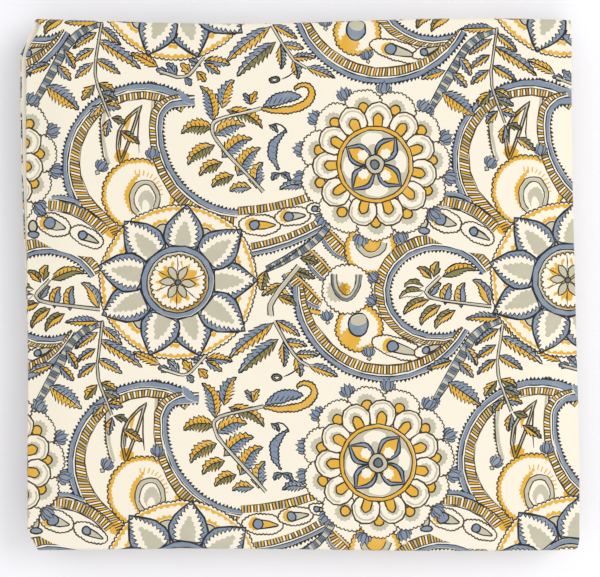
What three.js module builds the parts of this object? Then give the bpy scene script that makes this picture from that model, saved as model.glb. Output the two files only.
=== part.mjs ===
import * as THREE from "three";

// A cut length of block-printed cotton, folded in four across its width and then back and
// forth along its length into a flat packet.
// Millimetres. X runs across the packet, Y from its front edge to its back edge, and Z up
// from the surface that it lies on.

// Driving sizes
const LAYER_THICKNESS = 2.0; // the four plies of one layer
const LAYER_GAP = 0.5; // air between two layers at the rim
const CROWN = 2.2; // how far the middle of the top stands above its rim
const CROWN_RIM = 26; // width of the band in which the crown falls off
const HALF_WIDTH = 141; // from the middle to the widest layer's side
const HALF_LENGTH = 134.5; // from the middle to the farthest fold
const FLAP_LENGTH = 42; // the loose end, tucked under the top layer from the front
const FLAP_SLOPE = 60; // length over which the top layer comes down past the flap's end
const TAIL_SETBACK = 14; // the lowest layer's loose end stops this far inside the back
const BACK_DROOP = 1.1; // the top hangs by this much at the back, and the layers below by less
const DROOP_LENGTH = 9; // and starts to hang this far before the back edge
const EDGE_ROUND = 0.6; // rounding of the layers' sides
const TURN_STEPS = 5; // facets of a fold

// One row for each layer, lowest first, and the flap last. The four sides are measured from
// the middle, at the back and at the front end of the layer. The reach is that of the fold
// which ends the layer; wave and phase are how far, and from where, it wanders along X.
const COLUMNS = ["leftBack", "leftFront", "rightBack", "rightFront", "reach", "wave", "phase"];
const ROWS = [
  [138.0, 137.0, 137.5, 139.0, 131.5, 0.4, 0.5],
  [139.5, 136.5, 138.0, 139.5, 130.2, 0.5, 2.1],
  [137.5, 138.0, 136.5, 140.0, 132.6, 0.5, 4.0],
  [139.0, 137.5, 138.5, 139.0, 131.6, 0.4, 1.2],
  [138.0, 138.5, 137.0, 140.5, 131.0, 0.6, 5.2],
  [139.5, 137.0, 138.0, 139.5, 130.6, 0.5, 3.1],
  [138.5, 137.5, 137.0, 140.0, 132.2, 0.4, 0.0],
  [141.0, 135.5, 137.5, 140.5, 132.9, 1.4, 5.6],
  [137.6, 136.4, 137.5, 141.0, 133.9, 0.6, 5.9],
  [136.0, 135.5, 137.0, 139.5, 0, 0, 0],
];
const LAYERS = ROWS.map((row) => Object.fromEntries(COLUMNS.map((name, i) => [name, row[i]])));
const FLAP = LAYERS.length - 1;
const WAVE_LENGTH = 250; // of a fold's wandering

// The corners are drawn in: how much of the side and of the end each one loses
const CORNERS = {
  leftBack: { inward: 9.5, along: 18.5 },
  rightBack: { inward: 2.0, along: 5.0 },
  leftFront: { inward: 6.5, along: 9.5 },
  rightFront: { inward: 1.6, along: 5.0 },
};

// Where a layer is divided: shares of its length, and shares of its width
const LENGTH_SHARES = [0, 0.03, 0.07, 0.14, 0.27, 0.43, 0.6, 0.76, 0.87, 0.935, 0.972, 1];
const FLAP_SHARES = [0, 0.5, 1];
const WIDTH_SHARES = [0, 0.04, 0.11, 0.25, 0.42, 0.6, 0.77, 0.9, 0.96, 1];

const PITCH = LAYER_THICKNESS + LAYER_GAP;
const TOP = FLAP - 1;
const FLAP_END = FLAP_LENGTH - HALF_LENGTH;
const BACK = 1;
const FRONT = -1;

// 0 before the start, 1 past the end, and smooth between them
function ease(value, start, end) {
  const t = Math.min(1, Math.max(0, (value - start) / (end - start)));
  return t * t * (3 - 2 * t);
}

// The end at which a layer turns over into the next: even layers end at the front
function endOf(layer) {
  return layer % 2 === 0 ? FRONT : BACK;
}

// How far out, along Y, the fold that ends a layer lies at a place across the packet
function foldReach(layer, x) {
  const { reach, wave, phase } = LAYERS[layer];
  return reach + wave * Math.sin((2 * Math.PI * x) / WAVE_LENGTH + phase);
}

// How domed the packet is at a place: 1 over the middle and 0 at the rim
function dome(x, y) {
  const across = ease(HALF_WIDTH - Math.abs(x), 0, CROWN_RIM);
  const along = ease(HALF_LENGTH - Math.abs(y), 0, CROWN_RIM);
  return across * along;
}

// The height of a layer's middle surface. The flap takes the top layer's place, and lifts it.
function layerHeight(layer, x, y) {
  const step = Math.min(layer, TOP);
  const share = step / TOP;
  const droop = BACK_DROOP * ease(y, HALF_LENGTH - DROOP_LENGTH, HALF_LENGTH);
  const height = LAYER_THICKNESS / 2 + step * PITCH + share * (CROWN * dome(x, y) - droop);
  if (layer !== TOP) return height;
  return height + PITCH * (1 - ease(y, FLAP_END, FLAP_END + FLAP_SLOPE));
}

// The two sides of a layer at a place along it, with its corners drawn in
function sidesAt(row, y) {
  const back = ease(y, -HALF_LENGTH * 0.75, HALF_LENGTH * 0.75);
  const cut = (corner, distance) =>
    corner.inward * Math.max(0, 1 - Math.max(0, distance) / corner.along);
  const toBack = HALF_LENGTH - y;
  const toFront = HALF_LENGTH + y;
  const left = row.leftFront + (row.leftBack - row.leftFront) * back;
  const right = row.rightFront + (row.rightBack - row.rightFront) * back;
  return {
    left: -left + cut(CORNERS.leftBack, toBack) + cut(CORNERS.leftFront, toFront),
    right: right - cut(CORNERS.rightBack, toBack) - cut(CORNERS.rightFront, toFront),
  };
}

function mixSides(a, b, share) {
  return {
    left: a.left + (b.left - a.left) * share,
    right: a.right + (b.right - a.right) * share,
  };
}

// The Y at which a fold leaves the flat part of its layer
function turnCentre(layer, x) {
  return endOf(layer) * (foldReach(layer, x) - LAYER_THICKNESS / 2 - PITCH / 2);
}

// A place on the flat part of a layer, by its share of the way from its first end
function flatPlace(layer, share, x) {
  const start = layer === 0 ? HALF_LENGTH - TAIL_SETBACK : turnCentre(layer - 1, x);
  const end = layer === FLAP ? FLAP_END : turnCentre(layer, x);
  const y = start + (end - start) * share;
  return { y, z: layerHeight(layer, x, y), sides: sidesAt(LAYERS[layer], y) };
}

// A place on the fold between a layer and the next, by its share of the half turn
function turnPlace(layer, share, x) {
  const y = turnCentre(layer, x);
  const from = layerHeight(layer, x, y);
  const to = layerHeight(layer + 1, x, y);
  const angle = Math.PI * share;
  return {
    y: y + endOf(layer) * (PITCH / 2) * Math.sin(angle),
    z: (from + to) / 2 - ((to - from) / 2) * Math.cos(angle),
    sides: mixSides(sidesAt(LAYERS[layer], y), sidesAt(LAYERS[layer + 1], y), share),
  };
}

// The stations of the whole cloth, from the lowest layer's loose end to the flap's
function clothStations() {
  const stations = [];
  for (let layer = 0; layer <= FLAP; layer += 1) {
    const shares = layer === FLAP ? FLAP_SHARES : LENGTH_SHARES;
    for (const share of shares) stations.push((x) => flatPlace(layer, share, x));
    if (layer === FLAP) continue;
    for (let step = 1; step < TURN_STEPS; step += 1)
      stations.push((x) => turnPlace(layer, step / TURN_STEPS, x));
  }
  return stations;
}

// The middle surface as a grid of points: a row for each station, a column across the cloth
function middleSurface() {
  return clothStations().map((station) => {
    const { left, right } = station(0).sides;
    return WIDTH_SHARES.map((share) => {
      const x = left + (right - left) * share;
      const { y, z } = station(x);
      return new THREE.Vector3(x, y, z);
    });
  });
}

// One row of the middle surface grown to the outline of the layer's section
function sectionOutline(grid, row) {
  const before = grid[Math.max(0, row - 1)];
  const after = grid[Math.min(grid.length - 1, row + 1)];
  const half = LAYER_THICKNESS / 2;
  const last = WIDTH_SHARES.length - 1;
  const offset = (column, inset, height) => {
    const along = after[column].clone().sub(before[column]).setX(0).normalize();
    const normal = new THREE.Vector3(0, -along.z, along.y);
    const point = grid[row][column].clone().addScaledVector(normal, height);
    const inward = column === 0 ? 1 : -1;
    if (column === 0 || column === last) point.x += inward * inset;
    return point;
  };
  const columns = WIDTH_SHARES.map((_, column) => column);
  return [
    ...columns.map((column) => offset(column, EDGE_ROUND, half)),
    offset(last, 0, half - EDGE_ROUND),
    offset(last, 0, EDGE_ROUND - half),
    ...columns.reverse().map((column) => offset(column, EDGE_ROUND, -half)),
    offset(0, 0, EDGE_ROUND - half),
    offset(0, 0, half - EDGE_ROUND),
  ];
}

// A closed skin over the outlines of all sections, with a flat cap on each loose end
function clothGeometry() {
  const grid = middleSurface();
  const outlines = grid.map((_, row) => sectionOutline(grid, row));
  const around = outlines[0].length;
  const columns = WIDTH_SHARES.length;
  const positions = outlines.flat().flatMap((p) => [p.x, p.y, p.z]);
  const faces = [];
  for (let row = 0; row + 1 < outlines.length; row += 1) {
    for (let i = 0; i < around; i += 1) {
      const a = row * around + i;
      const b = row * around + ((i + 1) % around);
      faces.push(a, b, b + around, a, b + around, a + around);
    }
  }
  const lastRow = (outlines.length - 1) * around;
  for (const [first, turned] of [[0, false], [lastRow, true]]) {
    const add = (a, b, c) => faces.push(first + a, first + (turned ? b : c), first + (turned ? c : b));
    for (let i = 0; i + 1 < columns; i += 1) {
      const opposite = 2 * columns + 1 - i;
      add(i, i + 1, opposite - 1);
      add(i, opposite - 1, opposite);
    }
    add(columns - 1, columns, columns + 1);
    add(columns - 1, columns + 1, columns + 2);
    add(0, 2 * columns + 1, 2 * columns + 2);
    add(0, 2 * columns + 2, 2 * columns + 3);
  }
  const geometry = new THREE.BufferGeometry();
  geometry.setAttribute("position", new THREE.Float32BufferAttribute(positions, 3));
  geometry.setIndex(faces);
  geometry.computeVertexNormals();
  return geometry;
}

// Sets the cloth's middle over the origin, with its underside on the surface
function settle(geometry) {
  geometry.computeBoundingBox();
  const { min, max } = geometry.boundingBox;
  geometry.translate(-(min.x + max.x) / 2, -(min.y + max.y) / 2, -min.z);
  return geometry;
}

const printedCotton = new THREE.MeshStandardMaterial({
  color: 0xd9d3c2,
  roughness: 0.9,
  metalness: 0,
});

const packet = new THREE.Group();
const cloth = new THREE.Mesh(settle(clothGeometry()), printedCotton);
cloth.name = "folded_cloth";
packet.add(cloth);

export default packet;
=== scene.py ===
"""A folded length of hand block-printed cotton, photographed from straight above.

The cloth is one thin sheet, folded in four across its width and then back and forth along
its length. The print is drawn as shapes, in millimetres on the flat cloth, and cut into the
sheet's mesh, so that each face knows which printing blocks have touched it.
"""

from __future__ import annotations

import logging
import math
import random
from collections.abc import Callable
from dataclasses import dataclass, field
from enum import Enum

import bpy
import numpy as np
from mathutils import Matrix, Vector
from mathutils.geometry import delaunay_2d_cdt

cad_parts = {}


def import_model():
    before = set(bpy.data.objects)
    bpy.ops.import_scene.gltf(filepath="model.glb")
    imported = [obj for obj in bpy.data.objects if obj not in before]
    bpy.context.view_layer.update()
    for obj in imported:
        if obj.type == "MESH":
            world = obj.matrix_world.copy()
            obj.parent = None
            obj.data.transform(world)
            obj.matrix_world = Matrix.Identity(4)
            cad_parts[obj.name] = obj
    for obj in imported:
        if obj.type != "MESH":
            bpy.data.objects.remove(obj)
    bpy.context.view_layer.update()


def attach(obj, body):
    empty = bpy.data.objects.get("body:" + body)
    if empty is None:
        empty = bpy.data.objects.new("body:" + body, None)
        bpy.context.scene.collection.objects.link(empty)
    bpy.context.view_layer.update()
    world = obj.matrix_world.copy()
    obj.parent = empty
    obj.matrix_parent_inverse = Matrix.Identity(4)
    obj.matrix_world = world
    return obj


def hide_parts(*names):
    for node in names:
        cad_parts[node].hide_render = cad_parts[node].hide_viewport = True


log = logging.getLogger("folded_cotton")

Array = np.ndarray
MM = 0.001
PACKET_HEIGHT = 26.7  # millimetres, of the CAD model


# Curves on the flat cloth

SPACING = 1.1  # millimetres between the points of a drawn curve
ALL_ROUND = 360.0
Place = tuple | np.ndarray  # a point on the cloth


def as_path(points: list | Array) -> Array:
    """Turn a list of points into an array of two columns."""
    return np.asarray(points, dtype=float).reshape(-1, 2)


def spline(points: list | Array, closed: bool = False, step: float = SPACING) -> Array:
    """Draw a smooth curve through a few points.

    Args:
        points: the points that the curve passes.
        closed: whether it comes back to its start.
        step: the distance between the points of the result.

    Returns:
        The points of the curve.
    """
    path = as_path(points)
    count = len(path)
    spans = count if closed else count - 1
    out = []
    for i in range(spans):
        if closed:
            a, b, c, d = (path[(i + k - 1) % count] for k in range(4))
        else:
            b, c = path[i], path[i + 1]
            a = path[i - 1] if i else 2 * b - c
            d = path[i + 2] if i + 2 < count else 2 * c - b
        steps = max(2, int(math.ceil(np.linalg.norm(c - b) / step)))
        t = np.linspace(0, 1, steps, endpoint=False)[:, None]
        out.append(
            0.5 * (2 * b + (c - a) * t + (2 * a - 5 * b + 4 * c - d) * t**2 + (3 * b - a - 3 * c + d) * t**3)
        )
    if not closed:
        out.append(path[-1:])
    return np.concatenate(out)


def arc(centre: Place, radius: float, start: float = 0.0, end: float = ALL_ROUND) -> Array:
    """Draw part of a circle, counter-clockwise.

    Args:
        centre: its centre.
        radius: its radius.
        start: where it begins, in degrees.
        end: where it ends.

    Returns:
        The points of the arc.
    """
    step = min(2.2, max(0.5, 0.42 * math.sqrt(radius)))
    count = max(6, int(abs(math.radians(end - start)) * radius / step))
    whole = abs(end - start) >= ALL_ROUND
    angles = np.radians(np.linspace(start, end, count, endpoint=not whole))
    return np.stack([centre[0] + radius * np.cos(angles), centre[1] + radius * np.sin(angles)], 1)


def sides_of(path: Array, closed: bool = False) -> Array:
    """Find the unit vectors that point to the left of a path at each of its points.

    Args:
        path: the points of a path.
        closed: whether its end joins its start.

    Returns:
        One vector for each point.
    """
    if closed:
        along = np.roll(path, -1, 0) - np.roll(path, 1, 0)
    else:
        along = np.gradient(path, axis=0)
    along /= np.maximum(np.linalg.norm(along, axis=1, keepdims=True), 1e-9)
    return np.stack([-along[:, 1], along[:, 0]], 1)


def shifted(path: Array, distance: float | Array, closed: bool = False) -> Array:
    """Move a path to its left by a distance, or by one distance for each point."""
    return path + sides_of(path, closed) * np.broadcast_to(distance, (len(path),))[:, None]


def lengths_along(path: Array) -> Array:
    """Measure how far each point of a path is from its start, along it."""
    return np.concatenate([[0], np.cumsum(np.linalg.norm(np.diff(path, axis=0), axis=1))])


def divided(path: Array, count: int) -> Array:
    """Divide a path anew, into a number of equal lengths.

    Args:
        path: the points of a path.
        count: how many lengths.

    Returns:
        The points that divide it, with both its ends.
    """
    lengths = lengths_along(path)
    at = np.linspace(0, lengths[-1], count + 1)
    return np.stack([np.interp(at, lengths, path[:, k]) for k in range(2)], 1)


def spaced(path: Array, pitch: float, closed: bool = False) -> Array:
    """Divide a path anew, into equal lengths near a pitch.

    Args:
        path: the points of a path.
        pitch: the distance from one to the next.
        closed: whether its end joins its start.

    Returns:
        The points that divide it.
    """
    if closed:
        path = np.concatenate([path, path[:1]])
    out = divided(path, max(2, int(round(lengths_along(path)[-1] / pitch))))
    return out[:-1] if closed else out


def next_of(feet: Array, closed: bool) -> Array:
    """Find the point that follows each point; the last one of an open path follows itself."""
    return np.roll(feet, -1, 0) if closed else np.concatenate([feet[1:], feet[-1:]])


def saw(path: Array, depth: float, pitch: float, lean: float = 0.25, closed: bool = False) -> Array:
    """Cut pointed teeth into the left of a path.

    Args:
        path: the line on which the teeth stand.
        depth: how far they reach out to the left.
        pitch: the distance between two teeth.
        lean: how far the tips lean along the path, in pitches.
        closed: whether the path is closed.

    Returns:
        The toothed line.
    """
    feet = spaced(path, pitch, closed)
    tips = feet + (next_of(feet, closed) - feet) * (0.5 + lean) + sides_of(feet, closed) * depth
    both = np.stack([feet, tips], 1).reshape(-1, 2)
    return both if closed else both[:-1]


def scallops(path: Array, depth: float, pitch: float, closed: bool = False) -> Array:
    """Draw a row of round bulges on the left of a path.

    Args:
        path: the line on which they stand.
        depth: how far they stand out.
        pitch: the distance from one to the next.
        closed: whether its end joins its start.

    Returns:
        The scalloped line.
    """
    feet = spaced(path, pitch, closed)
    ahead, side = next_of(feet, closed) - feet, sides_of(feet, closed) * depth
    bulges = [feet + ahead * share + side * 0.95 for share in (0.27, 0.73)]
    both = np.stack([feet, *bulges], 1).reshape(-1, 2)
    return both if closed else both[:-2]


def ragged(outline: Array, depth: float, pitch: float = 2.0) -> Array:
    """Give a closed outline a torn edge, with small points that stand out.

    Args:
        outline: the points of a closed outline.
        depth: how far they stand out.
        pitch: the distance from one to the next.

    Returns:
        The torn outline.
    """
    points = spaced(outline, pitch / 2, True)
    turn = -1 if signed_area(outline) > 0 else 1
    return shifted(points, turn * depth * (np.arange(len(points)) % 2), True)


def comb(path: Array, depth: float, pitch: float, back: float, lean: float = 0.25) -> Array:
    """Outline a strip with teeth on its left and a plain edge at a distance, negative for the right."""
    return np.concatenate([saw(path, depth, pitch, lean), shifted(path, back)[::-1]])


def between(path: Array, near: float | Array, far: float | Array) -> Array:
    """Outline the strip between two distances to the left of a path."""
    return np.concatenate([shifted(path, near), shifted(path, far)[::-1]])


def signed_area(outline: Array) -> float:
    """Measure the area of an outline, positive if it runs counter-clockwise."""
    x, y = outline[:, 0], outline[:, 1]
    return 0.5 * float(np.sum(x * np.roll(y, -1) - np.roll(x, -1) * y))


def inwards(outline: Array, distance: float) -> Array:
    """Shrink a closed outline by a distance, or grow it by a negative one."""
    turn = 1 if signed_area(outline) > 0 else -1
    return shifted(outline, turn * distance, True)


def rotated(points: Array, degrees: float) -> Array:
    """Turn points counter-clockwise around the origin."""
    turn = math.radians(degrees)
    return points @ np.array([[math.cos(turn), math.sin(turn)], [-math.sin(turn), math.cos(turn)]])


def polar(centre: Place, radius: float, degrees: float) -> Array:
    """Find the point at a distance and an angle from a centre."""
    angle = math.radians(degrees)
    return np.array([centre[0] + radius * math.cos(angle), centre[1] + radius * math.sin(angle)])


def mirrored(side: Array) -> Array:
    """Close a side of a shape with its mirror image; a foot on the middle line stays single."""
    foot = 0 if side[0, 1] == 0 else None
    return np.concatenate([side, side[-2:foot:-1] * (1, -1)])


# Inks, shapes and the pen


class Ink(Enum):
    """What a shape does to the cloth: print with one block, or leave it bare again."""

    BARE = -1
    MUSTARD = 0
    GREIGE = 1
    BLUE = 2
    LINE = 3
    BROWN = 4


@dataclass(frozen=True)
class Shape:
    """One printed shape: its outline, and the ink in it."""

    outline: Array
    ink: Ink


@dataclass
class Pen:
    """Collects the shapes of one repeat. Those of a higher level lie over the lower ones."""

    weight: float = 0.62
    press: float = 1.55  # how much wider the dark lines print than they are drawn
    dark: Ink = Ink.LINE  # the dark line over blue is nearly black, and brown elsewhere
    level: int = 0
    levels: dict[int, list[Shape]] = field(default_factory=dict)
    dice: random.Random = field(default_factory=lambda: random.Random(7))

    def fill(self, outline: Array, *inks: Ink) -> None:
        """Print an outline's inside with each of the inks."""
        for ink in inks or (Ink.BARE,):
            self.levels.setdefault(self.level, []).append(Shape(outline, ink))

    def bounded(self, outline: Array, *inks: Ink, weight: float | None = None) -> None:
        """Print a closed shape with a dark line around it.

        Args:
            outline: the middle of the dark line.
            inks: what fills the shape; nothing leaves it bare.
            weight: the width of the line.
        """
        half = (self.weight if weight is None else weight) / 2 * self.press
        self.fill(inwards(outline, -half), self.dark)
        self.fill(inwards(outline, half), Ink.BARE)
        if inks:
            self.fill(outline, *inks)

    def line(self, path: Array, weight: float | None = None, taper: float = 0.35) -> None:
        """Print a line along an open path, thinner at its ends.

        Args:
            path: the points of a path.
            weight: its width; without one, that of the pen.
            taper: the width of its ends, as a share of its middle's.
        """
        half = (self.weight if weight is None else weight) / 2 * self.press
        share = np.linspace(-1, 1, len(path))
        widths = half * (taper + (1 - taper) * (1 - share**4))
        self.fill(between(path, -widths, widths), self.dark)

    def stem(self, path: Array, weight: float) -> None:
        """Print a bare stem between two dark lines, greige on one side.

        Args:
            path: the points of a path.
            weight: its width in millimetres.
        """
        self.fill(between(path, -weight / 2 - self.weight * 0.7, weight / 2 + self.weight * 0.7), Ink.LINE)
        self.fill(between(path, -0.42 * weight, 0.42 * weight), Ink.BARE)
        self.fill(between(path, -0.42 * weight, 0.28 * weight), Ink.GREIGE)

    def leaf(
        self,
        base: Place,
        tip: Place,
        width: float,
        above: tuple = (Ink.BLUE,),
        below: tuple = (Ink.MUSTARD,),
        bend: float = 0.13,
        teeth: int = 6,
        cut: float = 1.0,
    ) -> None:
        """Print a serrated leaf whose two halves have inks of their own.

        Args:
            base: where it leaves its stem.
            tip: where it ends.
            width: its full width.
            above: the inks of the half that lies further back on the cloth.
            below: those of the other half.
            bend: how far the midrib bows towards the upper half, as a share of its length.
            teeth: the teeth on each side.
            cut: how deep the teeth are, as a share of the full depth.
        """
        base, tip = np.array(base, float), np.array(tip, float)
        along = tip - base
        turned = 1 if along[0] > 0 else -1
        across = np.array([-along[1], along[0]]) * turned
        count = teeth * 2 + 1
        odd = np.arange(count) % 2 == 1
        t = np.linspace(0, 1, count)
        rib = base + along * t[:, None] + across * (4 * bend * t * (1 - t) * (0.6 + 0.8 * t))[:, None]
        normal = sides_of(rib) * turned
        profile = (width / 2 * np.sin(np.pi * t**0.75) ** 0.8)[:, None]
        ahead = along * (0.75 / teeth * odd * (1 - t))[:, None]
        upper = rib + normal * profile * np.where(odd, 1.0, 1 - 0.36 * cut)[:, None] + ahead
        lower = rib - normal * profile * np.where(odd, 1.0, 1 - 0.46 * cut)[:, None] + ahead
        whole = np.concatenate([lower, upper[-2:0:-1]])
        self.fill(inwards(whole, -self.weight * 0.65), self.dark)
        self.fill(inwards(whole, self.weight * 0.5), Ink.BARE)
        middle = rib[::2]
        self.fill(np.concatenate([upper, (middle + normal[::2] * 0.3)[-2:0:-1]]), *above)
        self.fill(np.concatenate([lower, middle[-2:0:-1]]), *below)
        self.line(middle, self.weight * 0.7)
        for k in range(2, count - 3, 2):
            for edge in (upper, lower)[: 2 if width > 6 else 1]:
                self.line(np.stack([rib[k], rib[k] + (edge[k] - rib[k]) * 0.75 + ahead[k - 1]]), 0.3, 1.0)

    def tulip(self, foot: Place, degrees: float, size: float) -> None:
        """Print a blue bud of five pointed petals that open in a direction.

        Args:
            foot: where it stands.
            degrees: the direction in which it points.
            size: its length.
        """
        along = polar((0, 0), size, degrees)
        across = np.array([-along[1], along[0]])
        foot = np.array(foot, float)

        def place(points: Array) -> Array:
            """Place points that are given in lengths of the bud."""
            return foot + points @ np.stack([along, across])

        cup = as_path([(-0.16, -0.18), (0.12, 0.0), (-0.16, 0.18), (-0.34, 0.0)])
        self.bounded(place(cup), Ink.GREIGE, weight=0.4)
        for side, reach in ((-1.15, 0.86), (1.15, 0.86), (-0.6, 1.0), (0.6, 1.0), (0.0, 1.08)):
            petal = mirrored(as_path([(0.0, 0.0), (0.36, -0.2), (0.68, -0.18), (reach, 0.0)]))
            self.bounded(place(rotated(petal, math.degrees(side * 0.62))), Ink.BLUE, weight=0.3)

    def ladder(self, low: Array, high: Array, pitch: float = 1.45) -> None:
        """Print a band of upright rungs, in turn coloured and bare.

        Args:
            low: one edge of the band.
            high: the other edge, which runs the same way.
            pitch: the distance between two rungs.
        """
        lengths = [np.linalg.norm(np.diff(edge, axis=0), axis=1).sum() for edge in (low, high)]
        count = max(3, round(sum(lengths) / 2 / pitch))
        low, high = divided(low, count), divided(high, count)
        self.fill(np.concatenate([low, high[::-1]]), Ink.BROWN)
        widths = np.linalg.norm(high - low, axis=1, keepdims=True)
        inset = 0.24 / np.maximum(widths, 0.5)
        low, high = low + (high - low) * inset, high + (low - high) * inset
        colours = ((Ink.MUSTARD,), (Ink.GREIGE,), (Ink.MUSTARD, Ink.GREIGE), (), (Ink.MUSTARD,), ())
        for i in range(count):
            gap = 0.18 + 0.07 * self.dice.random()
            corners = ((low, i, i + 1), (low, i + 1, i), (high, i + 1, i), (high, i, i + 1))
            quad = [edge[a] + (edge[b] - edge[a]) * gap for edge, a, b in corners]
            self.fill(np.array(quad), Ink.BARE, *colours[(i + self.dice.randrange(2) * 2) % 6])

    def border(self, path: Array, bands: tuple, depths: tuple) -> None:
        """Print the border of a paisley: teeth, a blue band, a pale line, and a ladder.

        Args:
            path: the outer edge of the blue band, with the teeth to its left.
            bands: the widths of the blue band, at even steps along the path.
            depths: the widths of the ladder in the same way.
        """
        share = np.linspace(0, 1, len(path))
        band = np.interp(share, np.linspace(0, 1, len(bands)), bands)
        depth = np.interp(share, np.linspace(0, 1, len(depths)), depths)
        self.ladder(shifted(path, -band - 1.3), shifted(path, -band - 1.3 - depth))
        self.fill(between(path, -band - 1.3 - depth, -band - 1.75 - depth), Ink.BROWN)
        self.fill(comb(path, 1.4, 2.0, -0.7, 0.2), Ink.LINE)
        self.fill(between(path, -0.25, -band - 1.7), Ink.LINE)
        self.fill(between(path, -0.25, -band), Ink.BARE, Ink.BLUE)
        self.fill(between(path, -band - 0.55, -band - 1.2), Ink.BARE)


# The motifs


@dataclass(frozen=True)
class StarFlower:
    """A rosette with a ring, a small flower in it, and nine pointed petals around it."""

    centre: tuple = (-60.3, 0.8)
    ring: float = 18.4
    ring_width: float = 2.9
    reach: float = 39.6
    petals: tuple = (84.0, 39.6, 1.0, -36.3, -73.3, -111.2, -157.0, 168.0, 130.6)
    petal_reaches: tuple = (39.3, 40.7, 39.6, 42.0, 39.2, 39.5, 41.5, 41.0, 41.3)

    def backing(self, pen: Pen) -> None:
        """Print the wavy ground behind the petals, with mustard inside its edge.

        Args:
            pen: collects the shapes.
        """
        angles = sorted(zip(self.petals, self.petal_reaches))
        following = angles[1:] + [(angles[0][0] + ALL_ROUND, 0)]
        rim = []
        for (angle, reach), (other, _) in zip(angles, following):
            rim.append(polar(self.centre, min(reach, 39.8) - 0.6, angle))
            rim.append(polar(self.centre, self.reach - 1.0, (angle + other) / 2))
        rim = spline(rim, True)
        pen.bounded(scallops(rim[::-1], 0.7, 2.4, True), weight=0.5)
        pen.fill(inwards(rim, 0.4), Ink.MUSTARD)
        jagged = inwards(rim, 2.0)
        middle = np.array(self.centre)
        uneven = 1 + 0.016 * np.sin(np.arange(len(rim)) * 1.9)[:, None]
        pen.fill(middle + (jagged - middle) * uneven, Ink.BARE)
        for (angle, _), (other, _) in zip(angles, following):
            halfway = (angle + other) / 2
            hub = polar(self.centre, 25.6, halfway)
            glow = arc(hub, 7.4)
            rays = 1 + 0.09 * np.sin(np.arange(len(glow)) * 2.3)[:, None]
            pen.fill(hub + (glow - hub) * rays, Ink.MUSTARD)
            pen.fill(arc(polar(self.centre, 25.2, halfway), 6.1), Ink.BARE)
            pen.bounded(arc(hub, 5.0), Ink.GREIGE, weight=0.5)

    def place(self, points: Array, degrees: float) -> Array:
        """Turn points that lie along a ray into their place."""
        return np.array(self.centre) + rotated(points, degrees)

    def petal(self, pen: Pen, degrees: float, reach: float) -> None:
        """Print one petal: a blue border, a toothed pale field, and a greige wedge in it.

        Args:
            pen: collects the shapes.
            degrees: the direction in which it points.
            reach: how far its tip is from the centre.
        """
        foot = self.ring - 2.4
        shares = np.array([0, 0.11, 0.23, 0.36, 0.49, 0.62, 0.745, 0.87, 1])
        halves = np.array([5.2, 7.6, 9.2, 9.8, 9.3, 7.9, 5.7, 3.0, 0.0])

        def half(end: float, width: float) -> Array:
            """Draw one side, by its end and its share of the petal's width."""
            return spline(np.stack([foot + (end - foot) * shares, -halves * width], 1), step=1.6)

        def toothed(side: Array, depth: float, pitch: float, lean: float, end: float) -> Array:
            """Outline the part outside the ring with teeth on both sides, up to its end."""
            teeth = saw(side[side[:, 0] > self.ring - 1.0], depth, pitch, lean)
            return self.place(mirrored(np.concatenate([teeth, [(end, 0.0)]])), degrees)

        pen.bounded(self.place(mirrored(half(reach, 1.0)), degrees), Ink.BLUE)
        pen.bounded(toothed(half(reach - 2.2, 0.63), -1.8, 2.2, 0.22, reach - 2.0), weight=0.5)
        end = reach - 7.5 + pen.dice.uniform(-1.5, 1.5)
        pen.fill(toothed(half(end, 0.36), -0.9, 2.6, 0.1, end), Ink.GREIGE)

    def heart(self, pen: Pen) -> None:
        """Print the ring, the scalloped disc in it, and the six-petalled flower.

        Args:
            pen: collects the shapes.
        """
        inner = self.ring - self.ring_width
        pen.fill(arc(self.centre, self.ring + 0.35), Ink.LINE)
        pen.fill(arc(self.centre, self.ring - 0.35), Ink.BARE, Ink.BLUE)
        pen.fill(arc(self.centre, inner + 0.35), Ink.LINE)
        pen.fill(arc(self.centre, inner - 0.3), Ink.BARE, Ink.GREIGE)
        pen.fill(arc((self.centre[0] + 0.5, self.centre[1] - 0.4), inner - 0.9), Ink.MUSTARD)
        pen.dark = Ink.BROWN
        disc = scallops(arc(self.centre, 12.8)[::-1], 1.3, 2.5, True)
        pen.bounded(disc, weight=0.5)
        glow = arc(self.centre, 9.6)
        spikes = glow + (glow - np.array(self.centre)) * (0.22 * np.sin(np.arange(len(glow)) * 2.0))[:, None]
        pen.fill(spikes, Ink.MUSTARD)
        blob = ((4, -18), (8, -17), (11, 0), (8.5, 15), (4, 18))
        for k in range(6):
            away = 27 + 60 * k + pen.dice.uniform(-5, 5)
            patch = [polar(self.centre, radius, away + angle) for radius, angle in blob]
            pen.fill(spline(patch, True), *(() if k % 2 else MUSTARD))
        for degrees in (91, 15, -42, -93, -160, 150):
            pen.line(as_path([polar(self.centre, radius, degrees) for radius in (5.0, 9.0, 12.9)]), 0.42)
        petal = mirrored(as_path([(1.2, 0), (3.2, 1.6), (5.4, 2.1), (7.4, 1.4), (9.0, 0)]))
        for k in range(6):
            pen.bounded(self.place(petal, 57 * k + 62 + (6 if k > 2 else 0)), Ink.GREIGE, weight=0.45)
        pen.dark = Ink.LINE
        pen.bounded(arc(self.centre, 1.5), Ink.BLUE, Ink.GREIGE, weight=0.45)

    def draw(self, pen: Pen) -> None:
        """Print the whole flower.

        Args:
            pen: collects the shapes.
        """
        pen.level = 4
        pen.dark = Ink.BROWN
        self.backing(pen)
        pen.dark = Ink.LINE
        for k in (0, 2, 4, 6, 8, 1, 3, 5, 7):
            self.petal(pen, self.petals[k], self.petal_reaches[k])
        self.heart(pen)


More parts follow.
